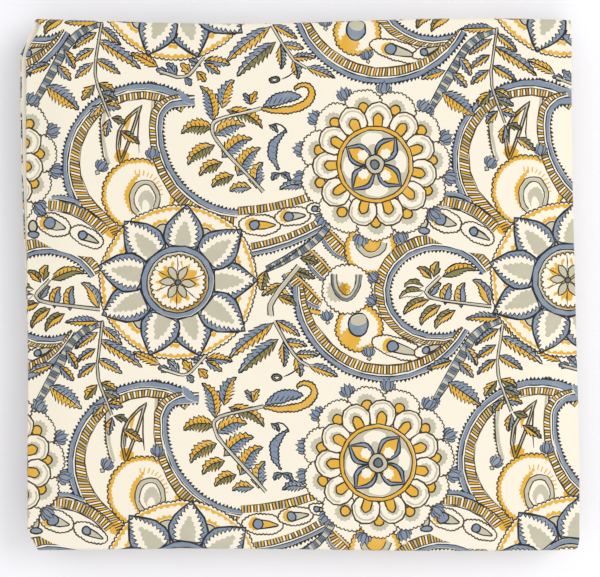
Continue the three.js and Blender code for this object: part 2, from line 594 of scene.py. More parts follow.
@dataclass(frozen=True)
class Medallion:
    """A round medallion with two rows of lobes and blue buds on its rim."""

    centre: tuple = (38.0, 59.4)
    ring: float = 19.3
    lobes: tuple = (85.0, 51.8, 19.5, -10.6, -40.2, -73.8, -105.3, -145.0, 181.0, 149.4, 116.5)
    buds: tuple = (113.0, 82.5, 49.0, 20.8, -9.5, -39.4, -70.7, -101.4, -134.0, -170.0, 168.0, 141.7)

    def gaps(self) -> list[tuple[float, float]]:
        """List the directions between the lobes.

        Returns:
            The direction of each gap and its angle, in degrees.
        """
        order = sorted((degrees + ALL_ROUND) % ALL_ROUND for degrees in self.lobes)
        following = order[1:] + [order[0] + ALL_ROUND]
        return [((a + b) / 2, b - a) for a, b in zip(order, following)]

    def place(self, points: Array, degrees: float) -> Array:
        """Turn points that lie along a ray into their place."""
        return np.array(self.centre) + rotated(points, degrees)

    def draw(self, pen: Pen) -> None:
        """Print the whole medallion, from its rim to its middle.

        Args:
            pen: collects the shapes.
        """
        pen.level = 4
        pen.dark = Ink.LINE
        for degrees in self.buds:
            pen.tulip(polar(self.centre, 35.4, degrees), degrees, 6.8)
        pen.dark = Ink.BROWN
        for degrees, span in self.gaps():
            self.outer_lobe(pen, degrees, span)
        for degrees, _ in self.gaps():
            pen.bounded(arc(polar(self.centre, 29.2, degrees), 2.6), Ink.MUSTARD, weight=0.5)
        for degrees in self.lobes:
            self.lobe(pen, degrees)
        self.heart(pen)
        pen.dark = Ink.LINE

    def outer_lobe(self, pen: Pen, degrees: float, span: float) -> None:
        """Print a scalloped lobe of the outer row, with greige around its bud.

        Args:
            pen: collects the shapes.
            degrees: the direction in which it points.
            span: the angle that it fills.
        """
        side = 31.0 * math.tan(math.radians(span / 2)) + 0.7
        outline = arc((0, 0), 1.0) * (7.6, side) + (30.2, 0)
        pen.bounded(self.place(scallops(outline[::-1], 0.8, 2.1, True), degrees), weight=0.45)
        pen.fill(self.place(ragged(arc((30.2, 0), 4.2), 0.8), degrees), Ink.GREIGE)

    def lobe(self, pen: Pen, degrees: float) -> None:
        """Print a round lobe of the inner row, with a mustard bud at its foot.

        Args:
            pen: collects the shapes.
            degrees: the direction in which it points.
        """
        round_lobe = arc((0, 0), 1.0) * (7.5, 7.2) + (24.1, 0)
        pen.bounded(self.place(round_lobe, degrees), weight=0.55)
        shade = arc((24.0, 0), 6.3, -95, 60)
        pen.fill(self.place(between(shade, 0.0, 0.9), degrees), Ink.GREIGE)
        pen.fill(self.place(ragged(arc((23.9, 0.4), 3.2), 0.6), degrees), Ink.GREIGE)
        bud = mirrored(as_path([(18.4, -2.0), (21.6, -2.4), (24.2, -2.1), (25.7, 0.0)]))
        pen.bounded(self.place(spline(bud), degrees), Ink.MUSTARD, weight=0.5)

    def heart(self, pen: Pen) -> None:
        """Print the mustard ring and the four-petalled flower in it.

        Args:
            pen: collects the shapes.
        """
        inner = self.ring - 2.0
        pen.fill(arc(self.centre, self.ring + 0.4), Ink.BROWN)
        pen.fill(arc(self.centre, self.ring - 0.3), Ink.BARE, Ink.MUSTARD)
        pen.fill(arc(self.centre, inner + 0.35), Ink.BROWN)
        pen.fill(arc(self.centre, inner - 0.3), Ink.BARE, Ink.GREIGE)
        blob = [(7.5, -13), (12, -25), (15.4, -21), (16.2, 0), (15.2, 19), (11.5, 24), (8, 12), (7.2, 0)]
        for degrees in (98.0, 8.0, -85.0, -172.0):
            points = [polar(self.centre, radius, degrees + angle) for radius, angle in blob]
            pen.fill(spline(points, True), Ink.BARE)
            pen.fill(arc(polar(self.centre, 8.4, degrees), 2.4), Ink.GREIGE)
        pen.dark = Ink.LINE
        for degrees, reach in ((50.8, 17.2), (149.3, 17.0), (-132.5, 17.3), (-38.7, 17.0)):
            self.petal(pen, degrees, reach)
        pen.bounded(arc(self.centre, 4.8), Ink.GREIGE, weight=0.5)
        pen.bounded(arc(self.centre, 2.3), Ink.BLUE, Ink.GREIGE, weight=0.5)

    def petal(self, pen: Pen, degrees: float, reach: float) -> None:
        """Print one pointed petal of the middle flower, bordered in blue.

        Args:
            pen: collects the shapes.
            degrees: the direction in which it points.
            reach: how far its tip is from the centre.
        """
        shares = (0.17, 0.33, 0.52, 0.7, 0.86, 0.95, 1.0)
        halves = (2.4, 4.3, 5.5, 4.9, 2.5, 0.9, 0.0)
        for scale, inks in ((1.0, BLUE), (0.66, MUSTARD)):
            half = spline(np.stack([shares, halves], 1) * (reach + 3.6 * (scale - 1), scale))
            pen.bounded(self.place(mirrored(half), degrees), *inks, weight=0.5)
        pen.fill(self.place(ragged(arc((7.6, -0.9), 2.3), 0.6), degrees), Ink.BARE)


DRAFT_SQUARE = 0.5  # millimetres: one square of the grid on which places were measured in the photo
DRAFT_CORNER = (-149.5, 142.0)  # where the grid's first square lies on the packet
BLUE = (Ink.BLUE,)
MUSTARD = (Ink.MUSTARD,)
GREIGE = (Ink.GREIGE,)
OLIVE = (Ink.BLUE, Ink.MUSTARD)


def drafted(*squares: tuple) -> Array:
    """Turn squares, counted to the right and down from the corner, into millimetres."""
    return np.array(DRAFT_CORNER) + as_path(squares) * (DRAFT_SQUARE, -DRAFT_SQUARE)


def spot(square: tuple) -> Array:
    """Turn one square into a point in millimetres."""
    return drafted(square)[0]


@dataclass(frozen=True)
class Spray:
    """A stem, bowed through three places, with serrated leaves: base, tip, width and inks."""

    stem: tuple = ()
    weight: float = 1.0
    leaves: tuple = ()
    cut: float = 1.0
    bend: float = 0.03
    fullness: float = 1.66

    def draw(self, pen: Pen) -> None:
        """Print the leaves, and the stem over their feet.

        Args:
            pen: collects the shapes.
        """
        for base, tip, width, above, below in self.leaves:
            base, tip = drafted(base, tip)
            teeth = max(3, min(9, int(np.linalg.norm(tip - base) / 2.0)))
            pen.leaf(base, tip, width * self.fullness, above, below, self.bend, teeth, self.cut)
        if self.stem:
            pen.stem(spline(drafted(*self.stem), step=2.4), self.weight)


SPRAYS = (
    # the fern that hangs from the star's lower point
    Spray(
        ((99.5, 21.5), (93.8, 73.8), (108, 116)),
        0.9,
        (
            ((94.2, 32), (71, 48.5), 2.9, BLUE, MUSTARD),
            ((92, 48.3), (73, 61.7), 2.9, BLUE, MUSTARD),
            ((91.4, 63), (73.5, 78), 3.0, BLUE, MUSTARD),
            ((93, 85), (81, 100), 3.4, MUSTARD, OLIVE),
            ((98.2, 26), (119, 45), 2.9, BLUE, MUSTARD),
            ((95, 39), (139, 68.5), 4.0, BLUE, MUSTARD),
            ((94, 59), (118.5, 74), 3.2, BLUE, MUSTARD),
            ((97, 83.3), (113, 91), 3.0, MUSTARD, OLIVE),
            ((98, 92), (116, 99), 3.0, BLUE, OLIVE),
            ((102, 104), (119, 108), 3.0, MUSTARD, BLUE),
            ((100, 104), (89, 117), 3.0, BLUE, MUSTARD),
            ((157, 66), (129, 53), 3.2, MUSTARD, MUSTARD),
            ((108, 118), (105, 136), 3.0, MUSTARD, BLUE),
            ((110, 117), (124, 122), 2.6, OLIVE, OLIVE),
            ((119, 130), (138, 143), 3.0, OLIVE, MUSTARD),
        ),
    ),
    # the small spray under the star's lower points
    Spray(
        ((204, 55), (184, 75.5), (159, 70)),
        1.1,
        (
            ((190, 74), (180, 62), 3.2, MUSTARD, MUSTARD),
            ((176, 74), (165, 62), 3.2, BLUE, BLUE),
            ((167, 72), (155, 69), 2.4, BLUE, BLUE),
            ((200, 65), (188, 58.5), 2.8, BLUE, BLUE),
            ((203.5, 59.5), (230, 63), 3.6, MUSTARD, BLUE),
            ((203, 62), (219, 73), 3.0, MUSTARD, BLUE),
            ((196, 70), (204, 80), 3.2, MUSTARD, MUSTARD),
            ((184, 76), (190, 84), 2.4, BLUE, BLUE),
        ),
    ),
    # the leaves beside the ribbed stem
    Spray(
        (),
        1.0,
        (
            ((48, 64), (24, 72.5), 3.2, BLUE, MUSTARD),
            ((62, 50), (73, 69), 3.2, MUSTARD, BLUE),
            ((55, 66), (69, 81), 3.2, MUSTARD, BLUE),
            ((44.5, 86), (77, 109.5), 5.8, BLUE, MUSTARD),
            ((96, 21), (62, 22), 3.4, BLUE, MUSTARD),
        ),
    ),
    # the curved spray between the paisley and the medallion
    Spray(
        ((262.3, 192), (210.6, 127), (261.3, 107)),
        1.3,
        (
            ((211.6, 126), (180, 132), 5.0, MUSTARD, OLIVE),
            ((213, 144.2), (187, 164), 4.8, MUSTARD, OLIVE),
            ((221.1, 161.4), (199, 175), 4.2, MUSTARD, OLIVE),
            ((232.6, 174.8), (211.5, 187), 4.0, MUSTARD, OLIVE),
            ((249.9, 187.5), (229, 191), 3.6, MUSTARD, BLUE),
            ((212.5, 119.3), (199.1, 84.9), 5.0, MUSTARD, BLUE),
            ((221.1, 106.9), (234, 79), 4.8, BLUE, MUSTARD),
            ((250.5, 103.5), (242, 93), 2.6, BLUE, BLUE),
            ((250.5, 103.5), (257.5, 91), 2.8, MUSTARD, MUSTARD),
            ((225.9, 108.5), (261.5, 128), 4.4, MUSTARD, OLIVE),
            ((213.5, 133.5), (244, 125), 5.4, MUSTARD, BLUE),
            ((220.5, 156.5), (251, 138), 5.4, MUSTARD, BLUE),
            ((236.5, 175.5), (259.5, 147.5), 5.4, MUSTARD, BLUE),
            ((255, 188), (261.5, 162), 5.0, MUSTARD, BLUE),
            ((303, 186), (279, 190), 3.4, BLUE, BLUE),
        ),
        bend=0.13,
    ),
    # the fern in the bean
    Spray(
        ((491, 305.5), (428.3, 296), (440, 275.5)),
        1.3,
        (
            ((423, 285.7), (404, 286.5), 3.0, OLIVE, ()),
            ((423.5, 291.3), (399.4, 298.5), 3.0, OLIVE, ()),
            ((428.3, 299), (404, 314.5), 3.0, OLIVE, MUSTARD),
            ((440.3, 304.5), (421, 325), 3.2, OLIVE, MUSTARD),
            ((454.7, 309.5), (435.5, 328.5), 3.2, OLIVE, MUSTARD),
            ((431.5, 278.5), (416.5, 268.5), 2.6, OLIVE, MUSTARD),
            ((433.5, 277), (438.9, 262), 3.2, MUSTARD, OLIVE),
            ((442, 276), (476, 269.5), 3.6, MUSTARD, OLIVE),
            ((428.5, 296), (441, 283), 3.2, OLIVE, BLUE),
            ((444.3, 304), (451.5, 283.5), 3.6, MUSTARD, BLUE),
            ((461, 307), (464.5, 282.5), 3.6, MUSTARD, BLUE),
            ((490, 304.5), (472.5, 279), 3.6, BLUE, MUSTARD),
        ),
        0.4,
        0.13,
    ),
    # the spray to the right of the star's lower points, and the leaves under the second stem
    Spray(
        ((272.5, 22.5), (291.5, 55), (307.5, 67)),
        1.0,
        (
            ((271.5, 24), (226.5, 60), 4.6, BLUE, MUSTARD),
            ((276.5, 40), (236.5, 75), 4.8, BLUE, OLIVE),
            ((274, 22), (298, 37), 3.2, BLUE, MUSTARD),
            ((281, 43), (305, 47), 3.0, BLUE, MUSTARD),
            ((281, 44), (282, 68), 3.2, BLUE, MUSTARD),
            ((292.5, 56), (316.5, 56), 3.0, BLUE, MUSTARD),
            ((294, 57), (299, 78), 3.2, BLUE, MUSTARD),
            ((307, 66), (336, 77), 3.4, BLUE, MUSTARD),
            ((291.6, 270.6), (315, 280), 3.0, OLIVE, OLIVE),
            ((283, 285), (262, 297), 3.2, MUSTARD, OLIVE),
            ((278, 297), (297, 306), 3.2, OLIVE, MUSTARD),
            ((300, 259), (318, 264), 3.0, OLIVE, OLIVE),
            ((256, 268), (243, 290), 3.8, OLIVE, BLUE),
            ((266, 271), (262, 292), 3.8, MUSTARD, OLIVE),
        ),
    ),
    # the stem that carries on from the second ribbed one
    Spray(((298.6, 266.4), (273.4, 301.3), (271.3, 317)), 2.3),
)


@dataclass(frozen=True)
class RibbedStem:
    """A stout stem of squares that are in turn blue and greige."""

    path: tuple
    widths: tuple
    pitch: float = 1.6

    def draw(self, pen: Pen) -> None:
        """Print the stem's dark sides and its squares.

        Args:
            pen: collects the shapes.
        """
        middle = spaced(swept(*self.path), self.pitch)
        shares, known = np.linspace(0, 1, len(middle)), np.linspace(0, 1, len(self.widths))
        half = np.interp(shares, known, self.widths) / 2
        left, right = shifted(middle, half), shifted(middle, -half)
        pen.fill(between(middle, -half - 0.55, half + 0.55), Ink.LINE)
        pen.fill(between(middle, -half, half), Ink.BARE)
        both = (Ink.BARE, Ink.BLUE, Ink.GREIGE)
        inks = (both, GREIGE, both, BLUE, GREIGE, both)
        for i in range(len(middle) - 1):
            pen.fill(np.array([left[i], left[i + 1], right[i + 1], right[i]]), *inks[i % 6])
            if i % 6 != 4:
                pen.line(np.array([left[i], right[i]]), 0.5)


STEMS = (
    RibbedStem(((101, 23), 188, (24, 54), (33, -4)), (2.0, 2.8, 3.3, 3.4, 3.8, 4.1, 3.6, 2.6, 2.0)),
    RibbedStem(((329, 223), 243, (17, -30), (23, -8)), (2.6, 3.4, 3.4, 2.8)),
)


def swept(square: tuple, heading: float, *bends: tuple) -> Array:
    """Draw a curve with compasses, arc after arc.

    Args:
        square: the drafted square where it starts.
        heading: the direction in degrees in which it leaves.
        bends: for each arc its length in millimetres, and its turn to the left in degrees.

    Returns:
        The points of the curve.
    """
    points = [spot(square)]
    angle = math.radians(heading)
    for length, turn in bends:
        count = max(3, int(length / SPACING))
        half = math.radians(turn) / count / 2
        for _ in range(count):
            angle += half
            points.append(points[-1] + length / count * np.array([math.cos(angle), math.sin(angle)]))
            angle += half
    return np.array(points)


def oval(
    square: tuple, length: float, width: float, lean: float = 0.0, start: float = 0.0, end: float = ALL_ROUND
) -> Array:
    """Draw an oval, or part of one, with compasses.

    Args:
        square: the drafted square at its middle.
        length: its size along the lean.
        width: its size across the lean.
        lean: the direction of its length in degrees.
        start: where a part begins, in degrees from the lean.
        end: where it ends.

    Returns:
        The points of the oval.
    """
    ring = arc((0, 0), length / 2, start, end) * (1, width / length)
    return spot(square) + rotated(ring, lean)


def crescent(start: tuple, end: tuple, left: float, right: float) -> Array:
    """Outline a shape between two bows over one chord.

    Args:
        start: the drafted square where the chord begins.
        end: where it ends.
        left: how far one bow stands to its left.
        right: how far the other does.

    Returns:
        The outline.
    """
    first, last = drafted(start, end)
    along = last - first
    across = np.array([-along[1], along[0]]) / np.linalg.norm(along)
    t = np.linspace(0, 1, max(6, int(np.linalg.norm(along) / SPACING)))[:, None]
    one, other = (first + along * t + across * bulge * 4 * t * (1 - t) for bulge in (left, right))
    return np.concatenate([one, other[-2:0:-1]])


def burst(square: tuple, radius: float, depth: float) -> Array:
    """Outline a round flame with small points around a drafted square."""
    return ragged(arc(spot(square), radius), depth)


@dataclass(frozen=True)
class Drop:
    """An eye-shaped drop with a round pupil and a wedge that points from it."""

    middle: tuple
    lean: float
    length: float
    width: float
    pupil_radius: float
    wedge_ink: Ink = Ink.GREIGE
    glow: bool = True

    def draw(self, pen: Pen) -> None:
        """Print the drop.

        Args:
            pen: collects the shapes.
        """
        outline = oval(self.middle, self.length, self.width, self.lean)[::-1]
        pen.dark = Ink.BROWN
        pen.bounded(scallops(outline, 0.45, 1.9, True), weight=0.5)
        pen.dark = Ink.LINE
        middle = spot(self.middle)
        hub = polar(middle, -0.12 * self.length, self.lean)
        if self.glow:
            flame = arc(hub + (-1.2, 0.3), self.pupil_radius + 0.9)
            pen.fill(flame + 0.3 * np.sin(np.arange(len(flame)) * 2.2)[:, None], Ink.MUSTARD)
        tip = polar(middle, 0.38 * self.length, self.lean)
        along = tip - hub
        across = np.array([-along[1], along[0]]) / max(np.linalg.norm(along), 1e-6) * self.pupil_radius * 0.95
        upper, lower = hub + along * 0.55 + across * 0.7, hub + along * 0.5 - across * 0.75
        pen.bounded(spline([hub + across, upper, tip, lower, hub - across]), self.wedge_ink, weight=0.45)
        pen.bounded(arc(hub, self.pupil_radius), Ink.BLUE, weight=0.5)


@dataclass(frozen=True)
class TeardropBand:
    """The band of drops and ladders that runs past the star on both sides."""

    def draw(self, pen: Pen) -> None:
        """Print the ladders first, then the drops over them."""
        self.left(pen)
        self.right(pen)

    def left(self, pen: Pen) -> None:
        """Print the part that ends at the star's left points.

        Args:
            pen: collects the shapes.
        """
        pen.fill(oval((66, 228), 52, 23, -20), Ink.BARE)
        top = swept((48, 199.8), 0, (35, -50))
        low = shifted(top, -4.6)
        pen.ladder(low, top)
        pen.line(shifted(top, 0.6), 0.5)
        pen.line(shifted(low, -0.5), 0.45)
        blue = swept((52, 197), 6, (15, -36))
        pen.fill(np.concatenate([saw(shifted(blue, 0.8), 0.8, 1.7), shifted(blue, -1.2)[::-1]]), Ink.LINE)
        pen.fill(between(blue, 0.8, -0.9), Ink.BARE, Ink.BLUE)
        Drop((53.5, 224), -18, 17.5, 10.5, 2.9).draw(pen)
        Drop((87, 236), -26, 18, 8.5, 2.2, glow=False).draw(pen)
        pen.bounded(oval((32, 226), 5.8, 4.6, 90), Ink.GREIGE, weight=0.5)
        pen.bounded(oval((33, 234), 5.8, 3.2), Ink.BLUE, weight=0.5)
        pen.fill(oval((113, 231), 7, 6.6), Ink.MUSTARD)
        pen.tulip(spot((44.5, 214.5)), 140, 4.8)

    def right(self, pen: Pen) -> None:
        """Print the part that ends at the star's right points.

        Args:
            pen: collects the shapes.
        """
        pen.fill(oval((278, 220), 46, 22, 12), Ink.BARE)
        top = swept((250.4, 243.8), 9, (36, 22))
        low = shifted(top, -3.6)
        pen.ladder(low, top, 1.6)
        pen.border(shifted(low, -2.8)[::-1], (1.6,), (0.05,))
        upper = swept((237, 207), 3, (38, 16))
        pen.ladder(shifted(upper, -4.0), upper, 1.6)
        Drop((259, 225.5), -2, 20.5, 10, 2.5, Ink.MUSTARD).draw(pen)
        Drop((292, 217), 5, 17.5, 8.8, 2.3).draw(pen)
        Drop((316, 210), -8, 10.5, 5.5, 1.5, glow=False).draw(pen)


@dataclass(frozen=True)
class GreatPaisley:
    """The paisley to the upper left of the star, with a great eye at its foot."""

    eye: tuple = (138.0, 193.4)
    eye_radius: float = 17.4

    def edge(self) -> Array:
        """Draw the outer edge, from the foot over the crest to the tip."""
        return swept((118, 259), 122, (23.5, 15), (121.5, -172))

    def flank(self) -> Array:
        """Draw the inner edge, from the tip round the bay and along the tail."""
        return swept((194, 104.3), 182, (9.5, 6), (10.5, 77), (78, 107))

    def body(self) -> Array:
        """Outline the whole paisley."""
        return np.concatenate([self.edge(), self.flank(), drafted((240, 245), (170, 262))])

    def draw(self, pen: Pen) -> None:
        """Print the body, its eye, its sails and its border.

        Args:
            pen: collects the shapes.
        """
        pen.fill(self.body(), Ink.BARE)
        pen.dark = Ink.BROWN
        self.sails(pen)
        self.great_eye(pen)
        pen.dark = Ink.LINE
        crest = (6.6, 6.4, 5.6, 4.6, 4.0, 3.7, 3.6, 3.4)
        flank = (0.1, 1.6, 3.1, 3.1, 3.2, 3.6, 4.2, 5.0, 5.4, 5.2, 4.8, 4.4, 4.0)
        pen.border(self.edge(), (2.1, 2.1, 2.1, 2.1, 2.2, 2.7, 3.6), crest)
        pen.border(self.flank(), (3.3, 2.9, *((2.1,) * 11)), flank)
        pen.fill(crescent((177, 88), (193, 104), 1.2, -2.6), Ink.BARE, Ink.BLUE)
        for square, degrees in (((98, 170), 55), ((151, 158), 85)):
            pen.tulip(spot(square), degrees, 6.2)

    def sails(self, pen: Pen) -> None:
        """Print the toothed line inside the ladder, and the long sail that hangs in it.

        Args:
            pen: collects the shapes.
        """
        line = swept((106, 164), 112, (15, -18), (9, -10), (18, -62), (17, -18), (3, -108), (25, 20))
        pen.fill(between(line, -0.7, -2.2), Ink.GREIGE)
        pen.fill(comb(line, 1.0, 1.8, -0.45), Ink.BROWN)
        sail = crescent((141, 104), (120, 165), 0.5, -7.0)
        pen.bounded(sail, Ink.GREIGE, weight=0.5)
        pen.bounded(inwards(sail, 1.3), weight=0.45)
        pen.fill(crescent((131, 111), (126, 133), 0.3, -2.2), Ink.MUSTARD)
        pen.fill(ragged(oval((121.5, 155.5), 7, 6.4), 0.5), Ink.MUSTARD)
        strand = swept((157, 105), 245, (24, 35))
        pen.fill(comb(strand, 0.9, 1.8, -0.4), Ink.BROWN)
        for square, heading, length in (((121, 128), 258, 10), ((138, 114), 262, 19)):
            pen.line(swept(square, heading, (length, 18)), 0.5)

    def great_eye(self, pen: Pen) -> None:
        """Print the scalloped eye with an arch in it.

        Args:
            pen: collects the shapes.
        """
        hub = spot(self.eye)
        pen.bounded(scallops(arc(hub, self.eye_radius)[::-1], 0.9, 2.6, True), Ink.MUSTARD, weight=0.5)
        pen.fill(ragged(arc(hub, self.eye_radius - 1.8), 0.6), Ink.BARE)
        flame = crescent((139, 173), (135, 214), -2.6, -5.8)
        pen.fill(ragged(flame, 0.9), Ink.MUSTARD)
        for degrees in range(0, 100, 11):
            away = [polar(hub, radius, degrees) for radius in (9.8, 12.4)]
            pen.fill(between(as_path(away), -0.3, 0.3), Ink.MUSTARD)
        arch = oval((144.5, 198), 17, 13, 90, -125, 150)
        pen.fill(between(arch, -1.45, 1.45), Ink.BROWN)
        pen.fill(between(arch, -0.85, 0.85), Ink.BARE, Ink.GREIGE)
        pen.fill(ragged(oval((146, 199.5), 10.5, 7.5, 90), 0.4), Ink.GREIGE)
        pen.fill(oval((145.5, 205), 6.5, 4, 90), Ink.BARE)


@dataclass(frozen=True)
class LesserPaisley:
    """The paisley below the medallion, wrapped around a bean with a fern in it."""

    feathers: tuple = (((321, 232), -78, (23, 72)), ((304, 254), -70, (23, 50)), ((285, 275), -68, (25, 50)))

    def edge(self) -> Array:
        """Draw the outer edge, from the tip round the belly."""
        return oval((386, 288), 93, 93, 0, -27, -180)

    def bean(self) -> Array:
        """Draw the bean that the paisley wraps around."""
        return oval((438, 292), 48.5, 42, 0, 25, 302)

    def draw(self, pen: Pen) -> None:
        """Print the body, its feathers and eyes, and its two borders.

        Args:
            pen: collects the shapes.
        """
        body = np.concatenate([self.edge(), drafted((300, 250), (330, 226), (400, 216), (470, 240))])
        pen.fill(np.concatenate([body, self.bean()]), Ink.BARE)
        for feather in self.feathers:
            self.feather(pen, swept(*feather))
        hem = swept((280, 286), -62, (26, 55))
        upper, lower = saw(shifted(hem, 1.0), 0.9, 1.7), saw(shifted(hem, -0.8)[::-1], 0.9, 1.7)
        pen.fill(np.concatenate([upper, lower]), Ink.BROWN)
        pen.fill(between(hem, 0.8, -0.6), Ink.BARE, Ink.MUSTARD)
        self.eyes(pen)
        pen.border(self.bean(), (1.9,), (3.2, 4.0, 4.6, 4.8, 4.6, 4.0, 3.0, 1.8, 1.0))
        pen.border(self.edge(), (2.1,), (0.8, 2.6, 4.0, 4.4, 4.4, 4.2, 4.0, 3.2, 2.0))
        for square, degrees in (((377, 281), 140), ((376, 304), 150), ((328, 322), 95), ((370, 357), 100)):
            pen.tulip(spot(square), degrees, 5.6)

    def feather(self, pen: Pen, path: Array) -> None:
        """Print a feather: a toothed blue strip, a ladder, and a mustard hem beyond it.

        Args:
            pen: collects the shapes.
            path: its shaft.
        """
        full = 5.6 * np.sin(np.pi * np.linspace(0.16, 0.92, len(path))) ** 0.7
        back = saw(shifted(path, -1.5)[::-1], 0.9, 1.7)
        pen.fill(np.concatenate([saw(shifted(path, full + 0.9), 0.9, 1.6), back]), Ink.BROWN)
        pen.fill(between(path, full + 0.7, full - 0.1), Ink.BARE, Ink.MUSTARD)
        pen.ladder(shifted(path, 0.3), shifted(path, full - 0.4), 1.5)
        pen.fill(between(path, 0.5, -1.6), Ink.LINE)
        pen.fill(between(path, 0.3, 0.0), Ink.BARE)
        pen.fill(between(path, -0.35, -1.4), Ink.BARE, Ink.BLUE)

    def eyes(self, pen: Pen) -> None:
        """Print the three round eyes, the drop beside them, and what they hold.

        Args:
            pen: collects the shapes.
        """
        pen.dark = Ink.BROWN
        rounds = (((370, 250), 12.4, MUSTARD), ((359.6, 328.5), 11.2, MUSTARD), ((347, 290), 11.8, ()))
        for square, radius, inks in rounds:
            hub = spot(square)
            pen.bounded(scallops(arc(hub, radius)[::-1], 0.9, 2.4, True), *inks, weight=0.5)
            pen.fill(ragged(arc(hub, radius - 2.2), 0.9), Ink.BARE)
        pen.fill(burst((337, 292), 4.6, 1.2), Ink.GREIGE)
        pen.fill(burst((371, 243), 5.6, 1.0), Ink.MUSTARD)
        pen.fill(burst((352, 338), 4.4, 1.0), Ink.MUSTARD)
        loops = (
            (oval((370.5, 240.5), 15, 13.4, -90, -80, 80), Ink.GREIGE),
            (oval((346, 277), 22, 12.6, -90, -95, 95), Ink.BLUE),
        )
        for loop, ink in loops:
            pen.fill(between(loop, -1.7, 1.7), Ink.BROWN)
            pen.fill(between(loop, -1.1, 1.1), Ink.BARE, Ink.GREIGE)
            pen.fill(between(loop, -1.1, 0.0), ink)
        pen.fill(burst((345, 290), 2.6, 0.8), Ink.MUSTARD)
        pen.dark = Ink.LINE
        pen.bounded(oval((358.5, 325), 11.5, 9.8, 90), Ink.BLUE, weight=0.55)
        pen.fill(oval((359, 320.5), 7.8, 6.0), Ink.BARE, Ink.GREIGE)
        Drop((399.5, 348), -17, 28, 9.5, 2.8).draw(pen)
        Drop((430, 348.5), 20, 16, 6, 1.9, glow=False).draw(pen)


def small_marks(pen: Pen) -> None:
    """Print the buds, hooks and curls that fill the gaps.

    Args:
        pen: collects the shapes.
    """
    curl = swept((262, 108), -12, (17, 25), (9, 40), (15, 190))
    half = 1.7 * np.sin(np.pi * np.linspace(0.1, 0.92, len(curl)))
    pen.bounded(ragged(between(curl, -half, half), 0.4), Ink.MUSTARD, weight=0.5)
    pen.bounded(ragged(crescent((263, 105.5), (302, 95.5), 4.5, -1.0), 0.5), Ink.BLUE, weight=0.5)
    for x in range(268, 298, 5):
        pen.line(spline(drafted((x, 103.5 - (x - 268) * 0.12), (x + 4, 96.5))), 0.36)
    pen.bounded(ragged(crescent((286, 130), (278, 170), -3.3, -7.4), 0.5), Ink.BLUE, weight=0.5)
    for y in (140, 146, 152, 158, 163):
        pen.line(drafted((270.5, y - 1), (275, y + 1.5)), 0.36)
    pen.line(swept((270, 125), 32, (11, -115)), 0.55)
    pen.leaf(*drafted((268.5, 124), (276.5, 132)), 3.0, BLUE, GREIGE, teeth=3)
    for square in ((271, 180), (289, 181)):
        pen.leaf(*drafted((279, 172.5), square), 3.6, BLUE, BLUE, teeth=3)
    pen.line(swept((297, 68), 228, (9.5, -30)), 0.45)
    ring = oval((274.5, 78.5), 5.0, 3.4)
    pen.bounded(ring, Ink.GREIGE, weight=0.6)
    pen.bounded(inwards(ring, 0.9), weight=0.4)
    pen.tulip(spot((30, 102)), -65, 4.6)
    fringe = swept((265, 273), 28, (27, 16))
    pen.fill(comb(fringe, 1.0, 1.9, -0.35), Ink.LINE)


def repeat_levels() -> dict[int, list[Shape]]:
    """Draw one whole repeat of the pattern, level by level.

    Returns:
        The shapes of each level.
    """
    pen = Pen()
    pen.level = 0
    GreatPaisley().draw(pen)
    LesserPaisley().draw(pen)
    pen.level = 1
    TeardropBand().draw(pen)
    pen.level = 2
    for stem in STEMS:
        stem.draw(pen)
    for spray in SPRAYS:
        spray.draw(pen)
    small_marks(pen)
    StarFlower().draw(pen)
    Medallion().draw(pen)
    return pen.levels


# How the cloth lies


def ease(value: Array, start: float, end: float) -> Array:
    """Rise smoothly from 0 before the start to 1 past the end."""
    t = np.clip((value - start) / (end - start), 0, 1)
    return t * t * (3 - 2 * t)


@dataclass(frozen=True)
class Layer:
    """One layer of the packet: its four sides from the middle, and its last fold."""

    left_back: float
    left_front: float
    right_back: float
    right_front: float
    reach: float = 0.0
    wave: float = 0.0
    phase: float = 0.0


@dataclass(frozen=True)
class Corner:
    """How much of the side and of the end a drawn-in corner loses."""

    inward: float
    along: float


